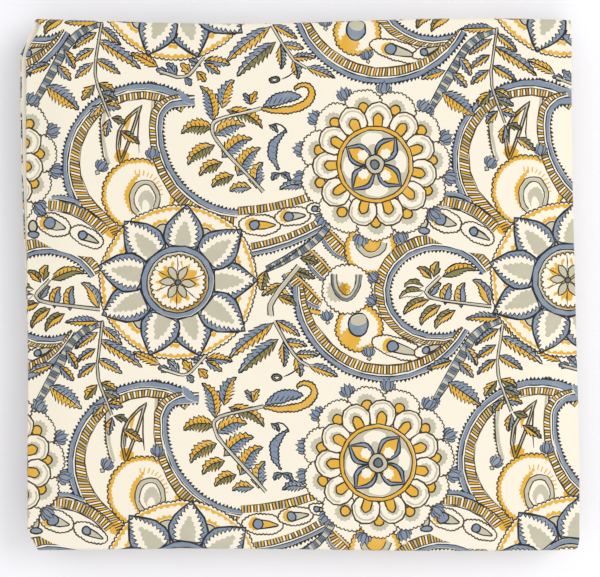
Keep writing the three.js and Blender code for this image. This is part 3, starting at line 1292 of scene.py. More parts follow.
@dataclass(frozen=True)
class Packet:
    """The folded cloth's layers, as in the CAD model, and the four plies of each layer.

    The cloth is folded in four across its width, so a layer's section is one line: the first
    selvedge at the right, the lowest ply, a fold at the left, the uppermost ply, a fold at
    the right, the third ply, a small fold at the left, and the second selvedge at the right.
    """

    thickness: float = 2.0
    gap: float = 0.5
    crown: float = 2.2
    crown_rim: float = 26.0
    half_width: float = 141.0
    half_length: float = 134.5
    flap_length: float = 42.0
    flap_slope: float = 60.0
    tail_setback: float = 14.0
    back_droop: float = 1.1
    droop_length: float = 9.0
    wave_length: float = 250.0
    outer_ply: float = 0.9
    inner_ply: float = 0.3
    left_inset: float = 1.0  # where the left fold begins, inside the layer's side
    right_inset: float = 0.5  # and the right fold
    selvedge_inset: float = 0.9  # and where the second selvedge lies
    tuck_radius: float = 0.3  # of the right fold, where it is divided into facets
    left_back: Corner = Corner(9.5, 18.5)
    right_back: Corner = Corner(2.0, 5.0)
    left_front: Corner = Corner(6.5, 9.5)
    right_front: Corner = Corner(1.6, 5.0)
    layers: tuple[Layer, ...] = (
        Layer(138.0, 137.0, 137.5, 139.0, 131.5, 0.4, 0.5),
        Layer(139.5, 136.5, 138.0, 139.5, 130.2, 0.5, 2.1),
        Layer(137.5, 138.0, 136.5, 140.0, 132.6, 0.5, 4.0),
        Layer(139.0, 137.5, 138.5, 139.0, 131.6, 0.4, 1.2),
        Layer(138.0, 138.5, 137.0, 140.5, 131.0, 0.6, 5.2),
        Layer(139.5, 137.0, 138.0, 139.5, 130.6, 0.5, 3.1),
        Layer(138.5, 137.5, 137.0, 140.0, 132.2, 0.4, 0.0),
        Layer(141.0, 135.5, 137.5, 140.5, 132.9, 1.4, 5.6),
        Layer(137.6, 136.4, 137.5, 141.0, 133.9, 0.6, 5.9),
        Layer(136.0, 135.5, 137.0, 139.5),
    )

    @property
    def flap(self) -> int:
        """The loose end that is tucked under the top layer."""
        return len(self.layers) - 1

    @property
    def top(self) -> int:
        """The layer that lies on top."""
        return self.flap - 1

    @property
    def pitch(self) -> float:
        """From one layer to the next."""
        return self.thickness + self.gap

    @property
    def turn_radius(self) -> float:
        """The radius of a fold's outermost ply."""
        return self.pitch / 2 + self.outer_ply

    def end_of(self, layer: int) -> int:
        """Find at which end a layer turns over: 1 for the back, -1 for the front."""
        return -1 if layer % 2 == 0 else 1

    def turn_centre(self, layer: int, x: Array) -> Array:
        """Find the Y at which the fold that ends a layer begins.

        Args:
            layer: the layer, counted from the lowest.
            x: places across the packet.

        Returns:
            One Y for each place.
        """
        row = self.layers[layer]
        reach = row.reach + row.wave * np.sin(2 * np.pi * x / self.wave_length + row.phase)
        return self.end_of(layer) * (reach - self.thickness / 2 - self.pitch / 2)

    def loose_end(self, layer: int) -> float:
        """Find the Y of the cloth's end, in the lowest layer or in the flap."""
        return self.half_length - self.tail_setback if layer == 0 else self.flap_length - self.half_length

    def height(self, layer: int, x: Array, y: Array) -> Array:
        """Measure the height of a layer's middle surface.

        Args:
            layer: the layer, counted from the lowest.
            x: places across the packet.
            y: places along the packet.

        Returns:
            One height for each place.
        """
        step = min(layer, self.top)
        dome = ease(self.half_width - abs(x), 0, self.crown_rim)
        dome = dome * ease(self.half_length - abs(y), 0, self.crown_rim)
        droop = self.back_droop * ease(y, self.half_length - self.droop_length, self.half_length)
        height = self.thickness / 2 + step * self.pitch + step / self.top * (self.crown * dome - droop)
        if layer == self.top:
            end = self.loose_end(self.flap)
            height = height + self.pitch * (1 - ease(y, end, end + self.flap_slope))
        return height

    def sides(self, layer: int, y: Array) -> tuple[Array, Array]:
        """Find the X of a layer's left and right sides, with its corners drawn in.

        Args:
            layer: the layer, counted from the lowest.
            y: places along the packet.

        Returns:
            The left and the right side, for each place.
        """
        row = self.layers[layer]
        back = ease(y, -0.75 * self.half_length, 0.75 * self.half_length)

        def cut(corner: Corner, distance: Array) -> Array:
            """Measure how much a corner takes from a side, at a distance from the layer's end."""
            return corner.inward * np.maximum(0, 1 - np.maximum(0, distance) / corner.along)

        to_back, to_front = self.half_length - y, self.half_length + y
        left = -(row.left_front + (row.left_back - row.left_front) * back)
        right = row.right_front + (row.right_back - row.right_front) * back
        left = left + cut(self.left_back, to_back) + cut(self.left_front, to_front)
        right = right - cut(self.right_back, to_back) - cut(self.right_front, to_front)
        return left, right

    def turn_sides(self, layer: int, share: Array) -> tuple[Array, Array]:
        """Find the left and right sides along the fold that ends a layer.

        Args:
            layer: the layer, counted from the lowest.
            share: each point's share of the half turn.

        Returns:
            The left and the right side, for each share.
        """
        y = self.turn_centre(layer, np.zeros(1))
        here, following = self.sides(layer, y), self.sides(layer + 1, y)
        left = here[0] + (following[0] - here[0]) * share
        right = here[1] + (following[1] - here[1]) * share
        return left, right

    def on_flat(self, layer: int, x: Array, y: Array, lift: Array) -> Array:
        """Place points on the flat part of a layer, lifted off its middle surface.

        Args:
            layer: the layer, counted from the lowest.
            x: places across the packet.
            y: places along the packet.
            lift: how far each point is off the layer's middle surface.

        Returns:
            The points in space.
        """
        z = self.height(layer, x, y)
        slope = (self.height(layer, x, y + 0.05) - self.height(layer, x, y - 0.05)) / 0.1
        calm = ease(self.half_length - 4 - abs(y), 0, 6)
        size = self.end_of(layer) / np.hypot(1, slope * calm)
        return np.stack([x, y - slope * calm * size * lift, z + size * lift], 1)

    def on_turn(self, layer: int, x: Array, share: Array, lift: Array) -> Array:
        """Place points on the fold that ends a layer, by their share of the half turn.

        Args:
            layer: the layer, counted from the lowest.
            x: places across the packet.
            share: each point's share of the half turn.
            lift: how far each point is off the layer's middle surface.

        Returns:
            The points in space.
        """
        end = self.end_of(layer)
        y = self.turn_centre(layer, x)
        low, high = self.height(layer, x, y), self.height(layer + 1, x, y)
        angle = np.pi * share
        rise = (high - low) / 2
        along_y, along_z = end * self.pitch / 2 * np.cos(angle), rise * np.sin(angle)
        size = np.hypot(along_y, along_z)
        y = y + end * self.pitch / 2 * np.sin(angle)
        z = (low + high) / 2 - rise * np.cos(angle)
        return np.stack([x, y - along_z / size * lift, z + along_y / size * lift], 1)

    def fold_left(self, beyond: Array, left: Array) -> tuple[Array, Array]:
        """Follow the uppermost ply around the left fold.

        Args:
            beyond: how far past the fold's start, along the cloth.
            left: the layer's left side.

        Returns:
            The X of each point, and its lift.
        """
        angle = np.clip(beyond / self.outer_ply, 0, np.pi)
        return left + self.left_inset - self.outer_ply * np.sin(angle), -self.outer_ply * np.cos(angle)

    def fold_right(self, beyond: Array, right: Array) -> tuple[Array, Array]:
        """Follow the uppermost ply around the right fold, down to the third ply.

        Args:
            beyond: how far past the fold's start, along the cloth.
            right: the layer's right side.

        Returns:
            The X of each point, and its lift.
        """
        radius = (self.outer_ply - self.inner_ply) / 2
        middle = -(self.outer_ply + self.inner_ply) / 2
        angle = np.clip(beyond / radius, 0, np.pi)
        return right - self.right_inset + radius * np.sin(angle), middle - radius * np.cos(angle)


# The mesh of the cloth


Placing = Callable[[Array], Array]  # turns points on the cloth into points in space


@dataclass
class Patch:
    """A part of the cloth's mesh: where its points lie, on the cloth and in space."""

    flat: Array
    points: Array
    faces: Array
    inks: Array
    normals: Array | None = None


@dataclass(frozen=True)
class Impression:
    """Where the print falls on a patch, and how finely it is cut there."""

    shift: tuple[float, float]
    tolerance: float
    least: float = 0.0
    merge: float = 0.6


@dataclass
class Printer:
    """Lays the repeats on the cloth, and cuts their outlines into a patch."""

    repeat: dict[int, list[Shape]]
    across: tuple[float, float] = (195.5, 1.5)
    down: tuple[float, float] = (3.5, -147.5)
    slip: float = 0.24  # how far a colour's block is set down from its place
    small: float = 9.0  # square millimetres; smaller marks stay in place
    seed: int = 11
    span: float = 230.0  # no mark lies farther than this from its repeat's origin
    rows: int = 16  # repeats to each side of the first, along the packet
    columns: int = 3  # and across it
    # how far an impression's blocks are off, by its row, its column and their level
    nudges: dict[tuple[int, int, int], tuple[float, float]] = field(
        default_factory=lambda: {
            (-1, -1, 0): (-1.5, 2.5),
            (-1, 0, 0): (3.0, 1.2),
            (-1, 0, 2): (2.3, 1.0),
            (-1, 0, 4): (1.7, 3.3),
            (0, -1, 4): (-2.0, 5.0),
            (0, 1, 2): (4.0, -5.0),
            (1, 0, 0): (-1.0, -2.5),
            (1, 0, 1): (-2.0, -1.7),
            (1, 0, 2): (-2.0, -2.5),
            (1, 1, 2): (3.0, -2.0),
            (1, 0, 4): (-1.6, -1.0),
        }
    )

    def nudge(self, row: int, column: int, level: int) -> Array:
        """Find how far the blocks of a level are off in one impression."""
        usual = self.nudges.get((row, 0, level), (0.0, 0.0))
        return np.array(self.nudges.get((row, column, level), usual))

    def slips(self, row: int, column: int) -> Array:
        """Find how far each ink's block is off, for one impression.

        Args:
            row: the impression's row.
            column: its column.

        Returns:
            One shift for each ink.
        """
        dice = np.random.default_rng(abs(self.seed + 131 * row + 17 * column))
        off = dice.uniform(-self.slip, self.slip, (5, 2))
        off[Ink.LINE.value :] = 0
        return off

    @staticmethod
    def wander(points: Array) -> Array:
        """Move points a little, as a hand-cut and hand-printed outline wanders.

        Args:
            points: the points to move.

        Returns:
            The moved points.
        """
        x, y = points.T
        dx = 0.16 * np.sin(0.31 * x + 0.83 * y) + 0.10 * np.sin(1.13 * x - 0.57 * y + 1.0)
        dy = 0.16 * np.sin(0.77 * x - 0.36 * y + 2.0) + 0.10 * np.sin(0.61 * x + 1.21 * y)
        sweep = 0.5 * np.sin(0.021 * x + 0.034 * y), 0.5 * np.sin(0.029 * x - 0.023 * y + 1.7)
        return points + np.stack([dx + sweep[0], dy + sweep[1]], 1)

    def outlines(self, low: Array, high: Array, how: Impression) -> list[Shape]:
        """List the shapes that touch a rectangle of a patch, in the order of printing.

        Args:
            low: the rectangle's lower corner.
            high: its upper corner.
            how: where the print falls and how finely it is cut.

        Returns:
            The shapes in their places.
        """
        out = []
        across, down = np.array(self.across), np.array(self.down)
        shift = np.array(how.shift)
        slim = {
            level: [
                Shape(simplified(shape.outline, how.tolerance), shape.ink)
                for shape in shapes
                if abs(signed_area(shape.outline)) >= how.least
            ]
            for level, shapes in self.repeat.items()
        }
        for level in sorted(slim):
            for row in range(-self.rows, self.rows + 1):
                for column in range(-self.columns, self.columns + 1):
                    start = column * across + row * down + shift + self.nudge(row, column, level)
                    if np.any(start + self.span < low) or np.any(start - self.span > high):
                        continue
                    slips = self.slips(row, column)
                    for shape in slim[level]:
                        points = shape.outline + start
                        if np.any(points.max(0) < low - 1) or np.any(points.min(0) > high + 1):
                            continue
                        points = self.wander(points)
                        if shape.ink is not Ink.BARE and abs(signed_area(points)) > self.small:
                            points = points + slips[shape.ink.value]
                        if signed_area(points) < 0:
                            points = points[::-1]
                        out.append(Shape(points, shape.ink))
        return out


def simplified(path: Array, tolerance: float, closed: bool = True) -> Array:
    """Leave out the points of a path that lie near the line between others.

    Args:
        path: the points of a path.
        tolerance: how far from that line they may lie.
        closed: whether its end joins its start.

    Returns:
        The points that stay.
    """
    if len(path) < (5 if closed else 3):
        return path
    whole = np.concatenate([path, path[:1]]) if closed else path
    last = len(whole) - 1
    far = int(np.argmax(np.linalg.norm(whole - whole[0], axis=1))) if closed else last
    keep = np.zeros(last + 1, bool)
    keep[[0, far, last]] = True
    waiting = [(0, far), (far, last)]
    while waiting:
        a, b = waiting.pop()
        if b - a < 2:
            continue
        chord = whole[b] - whole[a]
        inner = whole[a + 1 : b] - whole[a]
        size = math.hypot(*chord)
        if size > 1e-9:
            away = abs(inner[:, 0] * chord[1] - inner[:, 1] * chord[0]) / size
        else:
            away = np.hypot(*inner.T)
        worst = int(np.argmax(away))
        if away[worst] > tolerance:
            middle = a + 1 + worst
            keep[middle] = True
            waiting += [(a, middle), (middle, b)]
    return whole[keep][:-1] if closed else whole[keep]


def chained(edges: Array) -> list[list[int]]:
    """Join edges into chains, which end wherever other than two edges meet.

    Args:
        edges: the two points of each edge.

    Returns:
        The chains, each as a list of points.
    """
    near: dict[int, list[int]] = {}
    for a, b in edges.tolist():
        near.setdefault(a, []).append(b)
        near.setdefault(b, []).append(a)
    used: set[tuple[int, int]] = set()
    out = []
    for start in sorted(near, key=lambda point: len(near[point]) == 2):
        for following in near[start]:
            if (start, following) in used:
                continue
            chain = [start, following]
            used |= {(start, following), (following, start)}
            while len(near[chain[-1]]) == 2 and chain[-1] != start:
                a, b = near[chain[-1]]
                step = b if a == chain[-2] else a
                used |= {(chain[-1], step), (step, chain[-1])}
                chain.append(step)
            out.append(chain)
    return out


def triangulated(segments: Array, loose: Array, merge: float) -> tuple[Array, Array]:
    """Triangulate the plane so that every segment is an edge.

    Args:
        segments: the two ends of each segment.
        loose: further points.
        merge: points nearer than this become one.

    Returns:
        The points, and three of them for each triangle.
    """
    ends = segments.reshape(-1, 2)
    points = [Vector(point) for point in np.concatenate([ends, loose]).tolist()]
    edges = np.arange(len(ends)).reshape(-1, 2).tolist()
    verts, _, faces, *_ = delaunay_2d_cdt(points, edges, [], 0, merge, False)
    return np.array([tuple(v) for v in verts]), np.array(faces)


def inside(points: Array, outline: Array) -> Array:
    """Find which points an outline winds around counter-clockwise.

    Args:
        points: where to look.
        outline: the points of a closed outline.

    Returns:
        Whether it does, for each point.
    """
    following = np.roll(outline, -1, 0)
    y = points[:, 1:2]
    rising = (outline[:, 1] <= y) & (following[:, 1] > y)
    falling = (following[:, 1] <= y) & (outline[:, 1] > y)
    side = (following[:, 0] - outline[:, 0]) * (y - outline[:, 1])
    side = side - (points[:, 0:1] - outline[:, 0]) * (following[:, 1] - outline[:, 1])
    return ((rising & (side > 0)).sum(1) - (falling & (side < 0)).sum(1)) > 0


def inked(points: Array, shapes: list[Shape]) -> Array:
    """Find the inks at points; the dark line hides the rest.

    Args:
        points: where to look.
        shapes: the shapes, in the order of printing.

    Returns:
        One number for each point, with one bit for each block that printed there.
    """
    order = np.argsort(points[:, 0])
    x = points[order, 0]
    marks = np.zeros(len(points), np.int8)
    line, brown = 1 << Ink.LINE.value, 1 << Ink.BROWN.value
    for shape in shapes:
        low, high = shape.outline.min(0), shape.outline.max(0)
        first, last = np.searchsorted(x, (low[0], high[0]))
        near = order[first:last]
        near = near[(points[near, 1] >= low[1]) & (points[near, 1] <= high[1])]
        if len(near) == 0:
            continue
        hit = near[inside(points[near], shape.outline)]
        if shape.ink is Ink.BARE:
            marks[hit] = 0
        elif shape.ink is Ink.LINE:
            marks[hit] = line
        elif shape.ink is Ink.BROWN:
            marks[hit] = line | brown
        else:
            marks[hit] |= 1 << shape.ink.value
    return np.where(marks & line, marks & (line | brown), marks)


def as_segments(path: Array, closed: bool = False) -> Array:
    """Turn a path into the two ends of each of its segments."""
    ends = np.concatenate([path, path[:1]]) if closed else path
    return np.stack([ends[:-1], ends[1:]], 1)


OFF_PATCH = 127  # marks a triangle outside the patch
SLIVER = 2e-5  # square millimetres; narrower triangles are left out


def cut_print(
    printer: Printer, rim: Array, folds: list[Array], loose: Array, how: Impression
) -> tuple[Array, Array, Array]:
    """Cut the print into a flat patch.

    Args:
        printer: lays out the print.
        rim: the patch's outline, counter-clockwise.
        folds: lines that stay edges because the patch bends there.
        loose: points that the patch needs where it is bare.
        how: where the print falls and how finely it is cut.

    Returns:
        The flat points, the triangles, and the inks of each triangle.
    """
    low, high = rim.min(0), rim.max(0)
    shapes = printer.outlines(low, high, how)
    segments = [as_segments(shape.outline, True) for shape in shapes]
    segments = np.concatenate(segments) if segments else np.zeros((0, 2, 2))
    outside = np.any(segments.max(1) < low - 0.2, axis=1) | np.any(segments.min(1) > high + 0.2, axis=1)
    fixed = np.concatenate([as_segments(rim, True)] + [as_segments(fold) for fold in folds])
    merge = how.tolerance * how.merge
    points, faces = triangulated(np.concatenate([fixed, segments[~outside]]), loose[:0], merge)
    middles = points[faces].mean(1)
    marks = np.where(inside(middles, rim), inked(middles, shapes), OFF_PATCH)
    lines = [simplified(points[chain], merge, False) for chain in chained(borders(faces, marks))]
    points, faces = triangulated(np.concatenate([fixed] + [as_segments(line) for line in lines]), loose, 1e-3)
    a, b, c = (points[faces[:, k]] for k in range(3))
    sizes = np.abs(np.cross(b - a, c - a))
    middles = points[faces].mean(1)
    good = inside(middles, rim) & (sizes > SLIVER)
    faces, middles = faces[good], middles[good]
    used, faces = np.unique(faces, return_inverse=True)
    return points[used], faces.reshape(-1, 3), inked(middles, shapes)


def borders(faces: Array, marks: Array) -> Array:
    """List the edges whose two triangles differ in their marks, by their points.

    Args:
        faces: three points for each triangle.
        marks: a mark for each triangle.

    Returns:
        The two points of each edge.
    """
    edges = np.sort(np.concatenate([faces[:, [0, 1]], faces[:, [1, 2]], faces[:, [2, 0]]]), axis=1)
    owner = np.tile(marks, 3)
    order = np.lexsort((edges[:, 1], edges[:, 0]))
    edges, owner = edges[order], owner[order]
    same = np.all(edges[1:] == edges[:-1], axis=1)
    differ = same & (owner[1:] != owner[:-1])
    return edges[1:][differ]


@dataclass
class ClothBuilder:
    """Lays the sheet in its folds, patch by patch, and joins them into one mesh."""

    packet: Packet
    printer: Printer
    fine: float = 0.15  # millimetres: how closely the top's print keeps to its outlines
    coarse: float = 1.2  # and the underside's
    edge: float = 0.42  # and that of the edges
    patches: list[Patch] = field(default_factory=list)

    def add(self, rim: Array, folds: list[Array], loose: Array, how: Impression, place: Placing) -> None:
        """Cut the print into a patch and place it in space.

        Args:
            rim: the patch's outline on the cloth.
            folds: the lines on the cloth where it bends.
            loose: further points on the cloth.
            how: where the print falls and how finely it is cut.
            place: turns points on the cloth into points in space.
        """
        flat, faces, inks = cut_print(self.printer, rim, folds, loose, how)
        step = 0.02
        across = place(flat + (step, 0)) - place(flat - (step, 0))
        along = place(flat + (0, step)) - place(flat - (0, step))
        normals = np.cross(across, along)
        normals /= np.maximum(np.linalg.norm(normals, axis=1, keepdims=True), 1e-12)
        self.patches.append(Patch(flat, place(flat), faces, inks, normals))

    @staticmethod
    def chain(low: float, high: float, pitch: float) -> Array:
        """Divide a length into equal steps near a pitch."""
        return np.linspace(low, high, max(2, int(round((high - low) / pitch)) + 1))

    def top(self) -> None:
        """Lay the uppermost ply, with its front fold, back fold, and both side folds."""
        packet = self.packet
        layer, radius = packet.top, packet.turn_radius
        turn = np.pi * radius
        zero = np.zeros(1)
        front, back = packet.turn_centre(layer, zero)[0], packet.turn_centre(layer - 1, zero)[0]

        def bends(y: Array, near: Array, far: Array) -> tuple:
            """Give both folds: the points on it, their share of its turn, and the layer it ends."""
            return (y < near, (near - y) / turn, layer), (y > far, 1 - (y - far) / turn, layer - 1)

        def sides(y: Array) -> tuple[Array, Array]:
            """Find the sides of the top layer and of its two folds.

            Args:
                y: places along the packet.

            Returns:
                The left and the right side, for each place.
            """
            left, right = packet.sides(layer, np.clip(y, front, back))
            for over, share, ending in bends(y, front, back):
                other = packet.turn_sides(ending, np.clip(share, 0, 1))
                left, right = np.where(over, other[0], left), np.where(over, other[1], right)
            return left, right

        def place(flat: Array) -> Array:
            """Place the uppermost ply.

            Args:
                flat: points on the cloth.

            Returns:
                The points in space.
            """
            x, y = flat.T
            left, right = sides(y)
            lift = np.full(len(x), -packet.outer_ply)
            rolled = packet.fold_left(left + packet.left_inset - x, left)
            tucked = packet.fold_right(x - right + packet.right_inset, right)
            over_left, over_right = x < left + packet.left_inset, x > right - packet.right_inset
            x = np.where(over_left, rolled[0], np.where(over_right, tucked[0], x))
            lift = np.where(over_left, rolled[1], np.where(over_right, tucked[1], lift))
            points = packet.on_flat(layer, x, y, lift)
            points[:, 2] += self.ripple(x, y)
            near, far = packet.turn_centre(layer, x), packet.turn_centre(layer - 1, x)
            for over, share, ending in bends(y, near, far):
                bent = packet.on_turn(ending, x, np.clip(share, 0, 1), lift)
                points = np.where(over[:, None], bent, points)
            return points

        y = self.chain(front - turn + 0.02, back + turn - 0.02, 5.0)
        left, right = sides(y)
        left, right = left + packet.left_inset, right - packet.right_inset
        rolls = [np.stack([left - packet.outer_ply * a, y], 1) for a in np.linspace(0, np.pi, 6)]
        tucks = [np.stack([right + packet.tuck_radius * a, y], 1) for a in np.linspace(0, np.pi, 4)]
        x = self.chain(-139.0, 141.0, 12.0)
        folds = rolls[:-1] + tucks[:-1]
        for angle in np.linspace(0, np.pi, 7)[:-1]:
            folds.append(np.stack([x, packet.turn_centre(layer, x) - radius * angle], 1))
            folds.append(np.stack([x, packet.turn_centre(layer - 1, x) + radius * angle], 1))
        rim = np.concatenate([tucks[-1], rolls[-1][::-1]])
        grid = np.stack(np.meshgrid(self.chain(-130, 133, 8.5), self.chain(-128, 128, 8.5)), 2).reshape(-1, 2)
        self.add(rim, folds, grid, Impression((0.0, 0.0), self.fine), place)

    def ripple(self, x: Array, y: Array) -> Array:
        """Raise the top a little, unevenly, as cloth that was folded by hand.

        Args:
            x: places across the packet.
            y: places along the packet.

        Returns:
            How far each place is raised.
        """
        calm = ease(self.packet.half_width - abs(x), 4, 30) * ease(self.packet.half_length - abs(y), 6, 30)
        wave = np.sin(0.045 * x + 0.02 * y + 0.6) + 0.7 * np.sin(0.03 * x - 0.06 * y + 2.2)
        wave = wave + 0.5 * np.sin(0.11 * x + 0.05 * y) * np.sin(0.05 * y - 0.03 * x)
        return 0.16 * calm * (wave + 2.2)

    def underside(self) -> None:
        """Lay the lowest ply, with the fold that leads up from it at the front."""
        packet = self.packet
        radius = packet.turn_radius
        turn = np.pi * radius
        front = packet.turn_centre(0, np.zeros(1))[0]
        tail = packet.loose_end(0)

        def sides(y: Array) -> tuple[Array, Array]:
            """Find the sides of the underside and its fold.

            Args:
                y: places along the packet.

            Returns:
                The left and the right side, for each place.
            """
            left, right = packet.sides(0, np.maximum(y, front))
            other = packet.turn_sides(0, np.clip((front - y) / turn, 0, 1))
            return np.where(y < front, other[0], left), np.where(y < front, other[1], right)

        def place(flat: Array) -> Array:
            """Place the lowest ply.

            Args:
                flat: points on the cloth.

            Returns:
                The points in space.
            """
            x, y = -flat[:, 0], flat[:, 1]
            left = sides(y)[0]
            beyond = left + packet.left_inset - x
            rolled = packet.fold_left(np.pi * packet.outer_ply - beyond, left)
            x = np.where(beyond > 0, rolled[0], x)
            lift = np.where(beyond > 0, rolled[1], packet.outer_ply)
            points = packet.on_flat(0, x, y, lift)
            near = packet.turn_centre(0, x)
            bent = packet.on_turn(0, x, np.clip((near - y) / turn, 0, 1), lift)
            return np.where((y < near)[:, None], bent, points)

        y = self.chain(front - turn + 0.02, tail, 12.0)
        left, right = sides(y)
        left = -left - packet.left_inset
        rolls = [np.stack([left + packet.outer_ply * a, y], 1) for a in np.linspace(0, np.pi, 5)]
        rim = np.concatenate([rolls[-1], np.stack([-right, y], 1)[::-1]])
        x = self.chain(-141.0, 141.0, 35.0)
        folds = rolls[:-1]
        for angle in np.linspace(0, np.pi, 6)[:-1]:
            folds.append(np.stack([x, packet.turn_centre(0, -x) - radius * angle], 1))
        self.add(rim, folds, np.zeros((0, 2)), Impression((276.8, 96.0), self.coarse, 12.0, 0.4), place)

    def left_edge(self, layers: list[int], shift: float) -> None:
        """Lay the fold at the left of some layers, one above the other, as one long strip.

        Args:
            layers: the layers, from the highest.
            shift: where the print falls along the strip.
        """
        packet = self.packet
        turn = np.pi * packet.turn_radius
        wide = np.pi * packet.outer_ply
        spans = []
        start = 0.0
        for layer in layers:
            x = np.full(1, -137.0)
            first = packet.loose_end(layer) if layer == packet.flap else packet.turn_centre(layer, x)[0]
            last = packet.turn_centre(layer - 1, x)[0]
            spans.append((layer, start, first, last))
            start += abs(last - first) + turn
        total = start - turn

        def place(flat: Array) -> Array:
            """Place the strip of folds.

            Args:
                flat: points on the cloth.

            Returns:
                The points in space.
            """
            beyond, s = -flat[:, 0], flat[:, 1]
            points = np.zeros((len(flat), 3))
            for layer, begin, first, last in spans:
                length = abs(last - first)
                y = first + np.sign(last - first) * np.clip(s - begin, 0, length)
                left = packet.sides(layer, y)[0]
                x, lift = packet.fold_left(beyond, left)
                here = (s >= begin) & (s <= begin + length)
                points = np.where(here[:, None], packet.on_flat(layer, x, y, lift), points)
                share = 1 - np.clip((s - begin - length) / turn, 0, 1)
                left = packet.turn_sides(layer - 1, share)[0]
                x, lift = packet.fold_left(beyond, left)
                here = s > begin + length
                points = np.where(here[:, None], packet.on_turn(layer - 1, x, share, lift), points)
            return points

        s = self.chain(0, total, 9.0)
        breaks = []
        for _, begin, first, last in spans:
            length = abs(last - first)
            breaks += [begin, begin + length, begin + (length + turn / 2)]
        s = np.unique(np.concatenate([s, [value for value in breaks if value <= total]]))
        rolls = [np.stack([np.full(len(s), -packet.outer_ply * a), s], 1) for a in np.linspace(0, np.pi, 5)]
        rim = np.array([(-wide, 0), (0, 0), (0, total), (-wide, total)])
        folds = rolls[1:-1]
        for value in breaks:
            if 0 < value < total:
                folds.append(np.array([(-wide, value), (0, value)]))
        self.add(rim, folds, np.zeros((0, 2)), Impression((30.0, shift), self.edge, 0.8), place)

    def outer_fold(self, layer: int) -> None:
        """Lay the outermost ply of the fold that ends a layer, between its side folds.

        Args:
            layer: the layer, counted from the lowest.
        """
        packet = self.packet
        turn = np.pi * packet.turn_radius
        at_back = packet.end_of(layer) > 0
        mirror = 1 if at_back else -1
        lift = -packet.outer_ply if at_back else packet.outer_ply

        def place(flat: Array) -> Array:
            """Place the outermost ply of the fold."""
            share = np.clip(1 - flat[:, 1] / turn, 0, 1)
            return packet.on_turn(layer, mirror * flat[:, 0], share, np.full(len(flat), lift))

        s = np.linspace(0, turn, 7)
        left, right = packet.turn_sides(layer, 1 - s / turn)
        if at_back:
            low, high = left + packet.left_inset, right - packet.right_inset
        else:
            low, high = -right, -left - packet.left_inset
        rim = np.concatenate([np.stack([high, s], 1), np.stack([low, s], 1)[::-1]])
        x = self.chain(-139, 139, 25)
        folds = [np.stack([x, np.full(len(x), value)], 1) for value in s[1:-1]]
        how = Impression((90.0 * mirror, 37.0 + 55.0 * layer), self.edge, 0.8)
        self.add(rim, folds, np.zeros((0, 2)), how, place)

    def section(self, names: str, left: Array, right: Array) -> tuple[Array, Array]:
        """Follow part of a layer's section, from ply to ply.

        Args:
            names: the parts to follow: a, d, f, c, g and b, in the order of the cloth.
            left: the layer's left side, one value a station.
            right: its right side.

        Returns:
            The X and the lift of each point, a row for each station.
        """
        packet = self.packet
        xs, lifts = [], []
        share = np.linspace(0, 1, 6)
        low, high = (left + packet.left_inset)[:, None], right[:, None]

        def level(lift: float, start: Array, end: Array) -> None:
            """Add a level part, at one lift."""
            xs.append(start + (end - start) * share)
            lifts.append(np.full(xs[-1].shape, lift))

        for name in names:
            if name == "a":
                level(packet.outer_ply, high, low)
            elif name == "d":
                level(-packet.outer_ply, low, high - packet.right_inset)
            elif name == "f":
                beyond = np.linspace(0, packet.tuck_radius * np.pi, 5)[None]
                x, lift = packet.fold_right(beyond, right[:, None])
                xs.append(x)
                lifts.append(lift + 0 * x)
            elif name == "c":
                level(-packet.inner_ply, high - packet.right_inset, low)
            elif name == "g":
                angle = np.linspace(0, np.pi, 4)[None]
                xs.append(low - packet.inner_ply * np.sin(angle))
                lifts.append(-packet.inner_ply * np.cos(angle) + 0 * xs[-1])
            elif name == "b":
                level(packet.inner_ply, low, high - packet.selvedge_inset)
        return np.concatenate(xs, 1), np.concatenate(lifts, 1)

    def hidden(self, names: str, layer: int, turned: bool, pitch: float = 0.0) -> None:
        """Lay plies that hardly show, as a plain grid.

        Args:
            names: the parts of the section.
            layer: the layer, or the one that the fold ends.
            turned: whether this is the fold rather than the flat part.
            pitch: the steps along the layer; zero for as few as its shape needs.
        """
        packet = self.packet
        if turned:
            share = np.linspace(0, 1, 6)
            left, right = packet.turn_sides(layer, share)
        else:
            zero = np.zeros(1)
            first = packet.loose_end(0) if layer == 0 else packet.turn_centre(layer - 1, zero)[0]
            last = packet.loose_end(layer) if layer == packet.flap else packet.turn_centre(layer, zero)[0]
            share = np.array([0, 0.03, 0.07, 0.14, 0.3, 0.5, 0.7, 0.86, 0.93, 0.97, 1])
            if pitch:
                share = self.chain(0, 1, pitch / abs(last - first))
            left, right = packet.sides(layer, first + (last - first) * share)
        x, lift = self.section(names, left, right)
        rows, columns = x.shape
        share = np.repeat(share, columns)
        if turned:
            points = packet.on_turn(layer, x.ravel(), share, lift.ravel())
        else:
            start = packet.turn_centre(layer - 1, x.ravel()) if layer else np.full(x.size, first)
            end = packet.turn_centre(layer, x.ravel()) if layer < packet.flap else np.full(x.size, last)
            points = packet.on_flat(layer, x.ravel(), start + (end - start) * share, lift.ravel())
        index = np.arange(rows * columns).reshape(rows, columns)
        quads = [index[:-1, :-1], index[:-1, 1:], index[1:, 1:], index[1:, :-1]]
        a, b, c, d = (part.ravel() for part in quads)
        faces = np.concatenate([np.stack([a, b, c], 1), np.stack([a, c, d], 1)])
        along = lengths_along(points.reshape(rows, columns, 3)[:, 0])
        widths = np.concatenate([[0], np.cumsum(np.hypot(np.diff(x[0]), np.diff(lift[0])))])
        flat = np.stack([np.tile(widths, rows), np.repeat(along, columns)], 1)
        inks = np.zeros(len(faces), np.int8)
        if pitch:
            middles = points[faces].mean(1)[:, :2] + (0, layer * 61.0)
            how = Impression((0, 0), 0.5, 2.0)
            inks = inked(middles, self.printer.outlines(middles.min(0), middles.max(0), how))
        self.patches.append(Patch(flat, points, faces, inks))

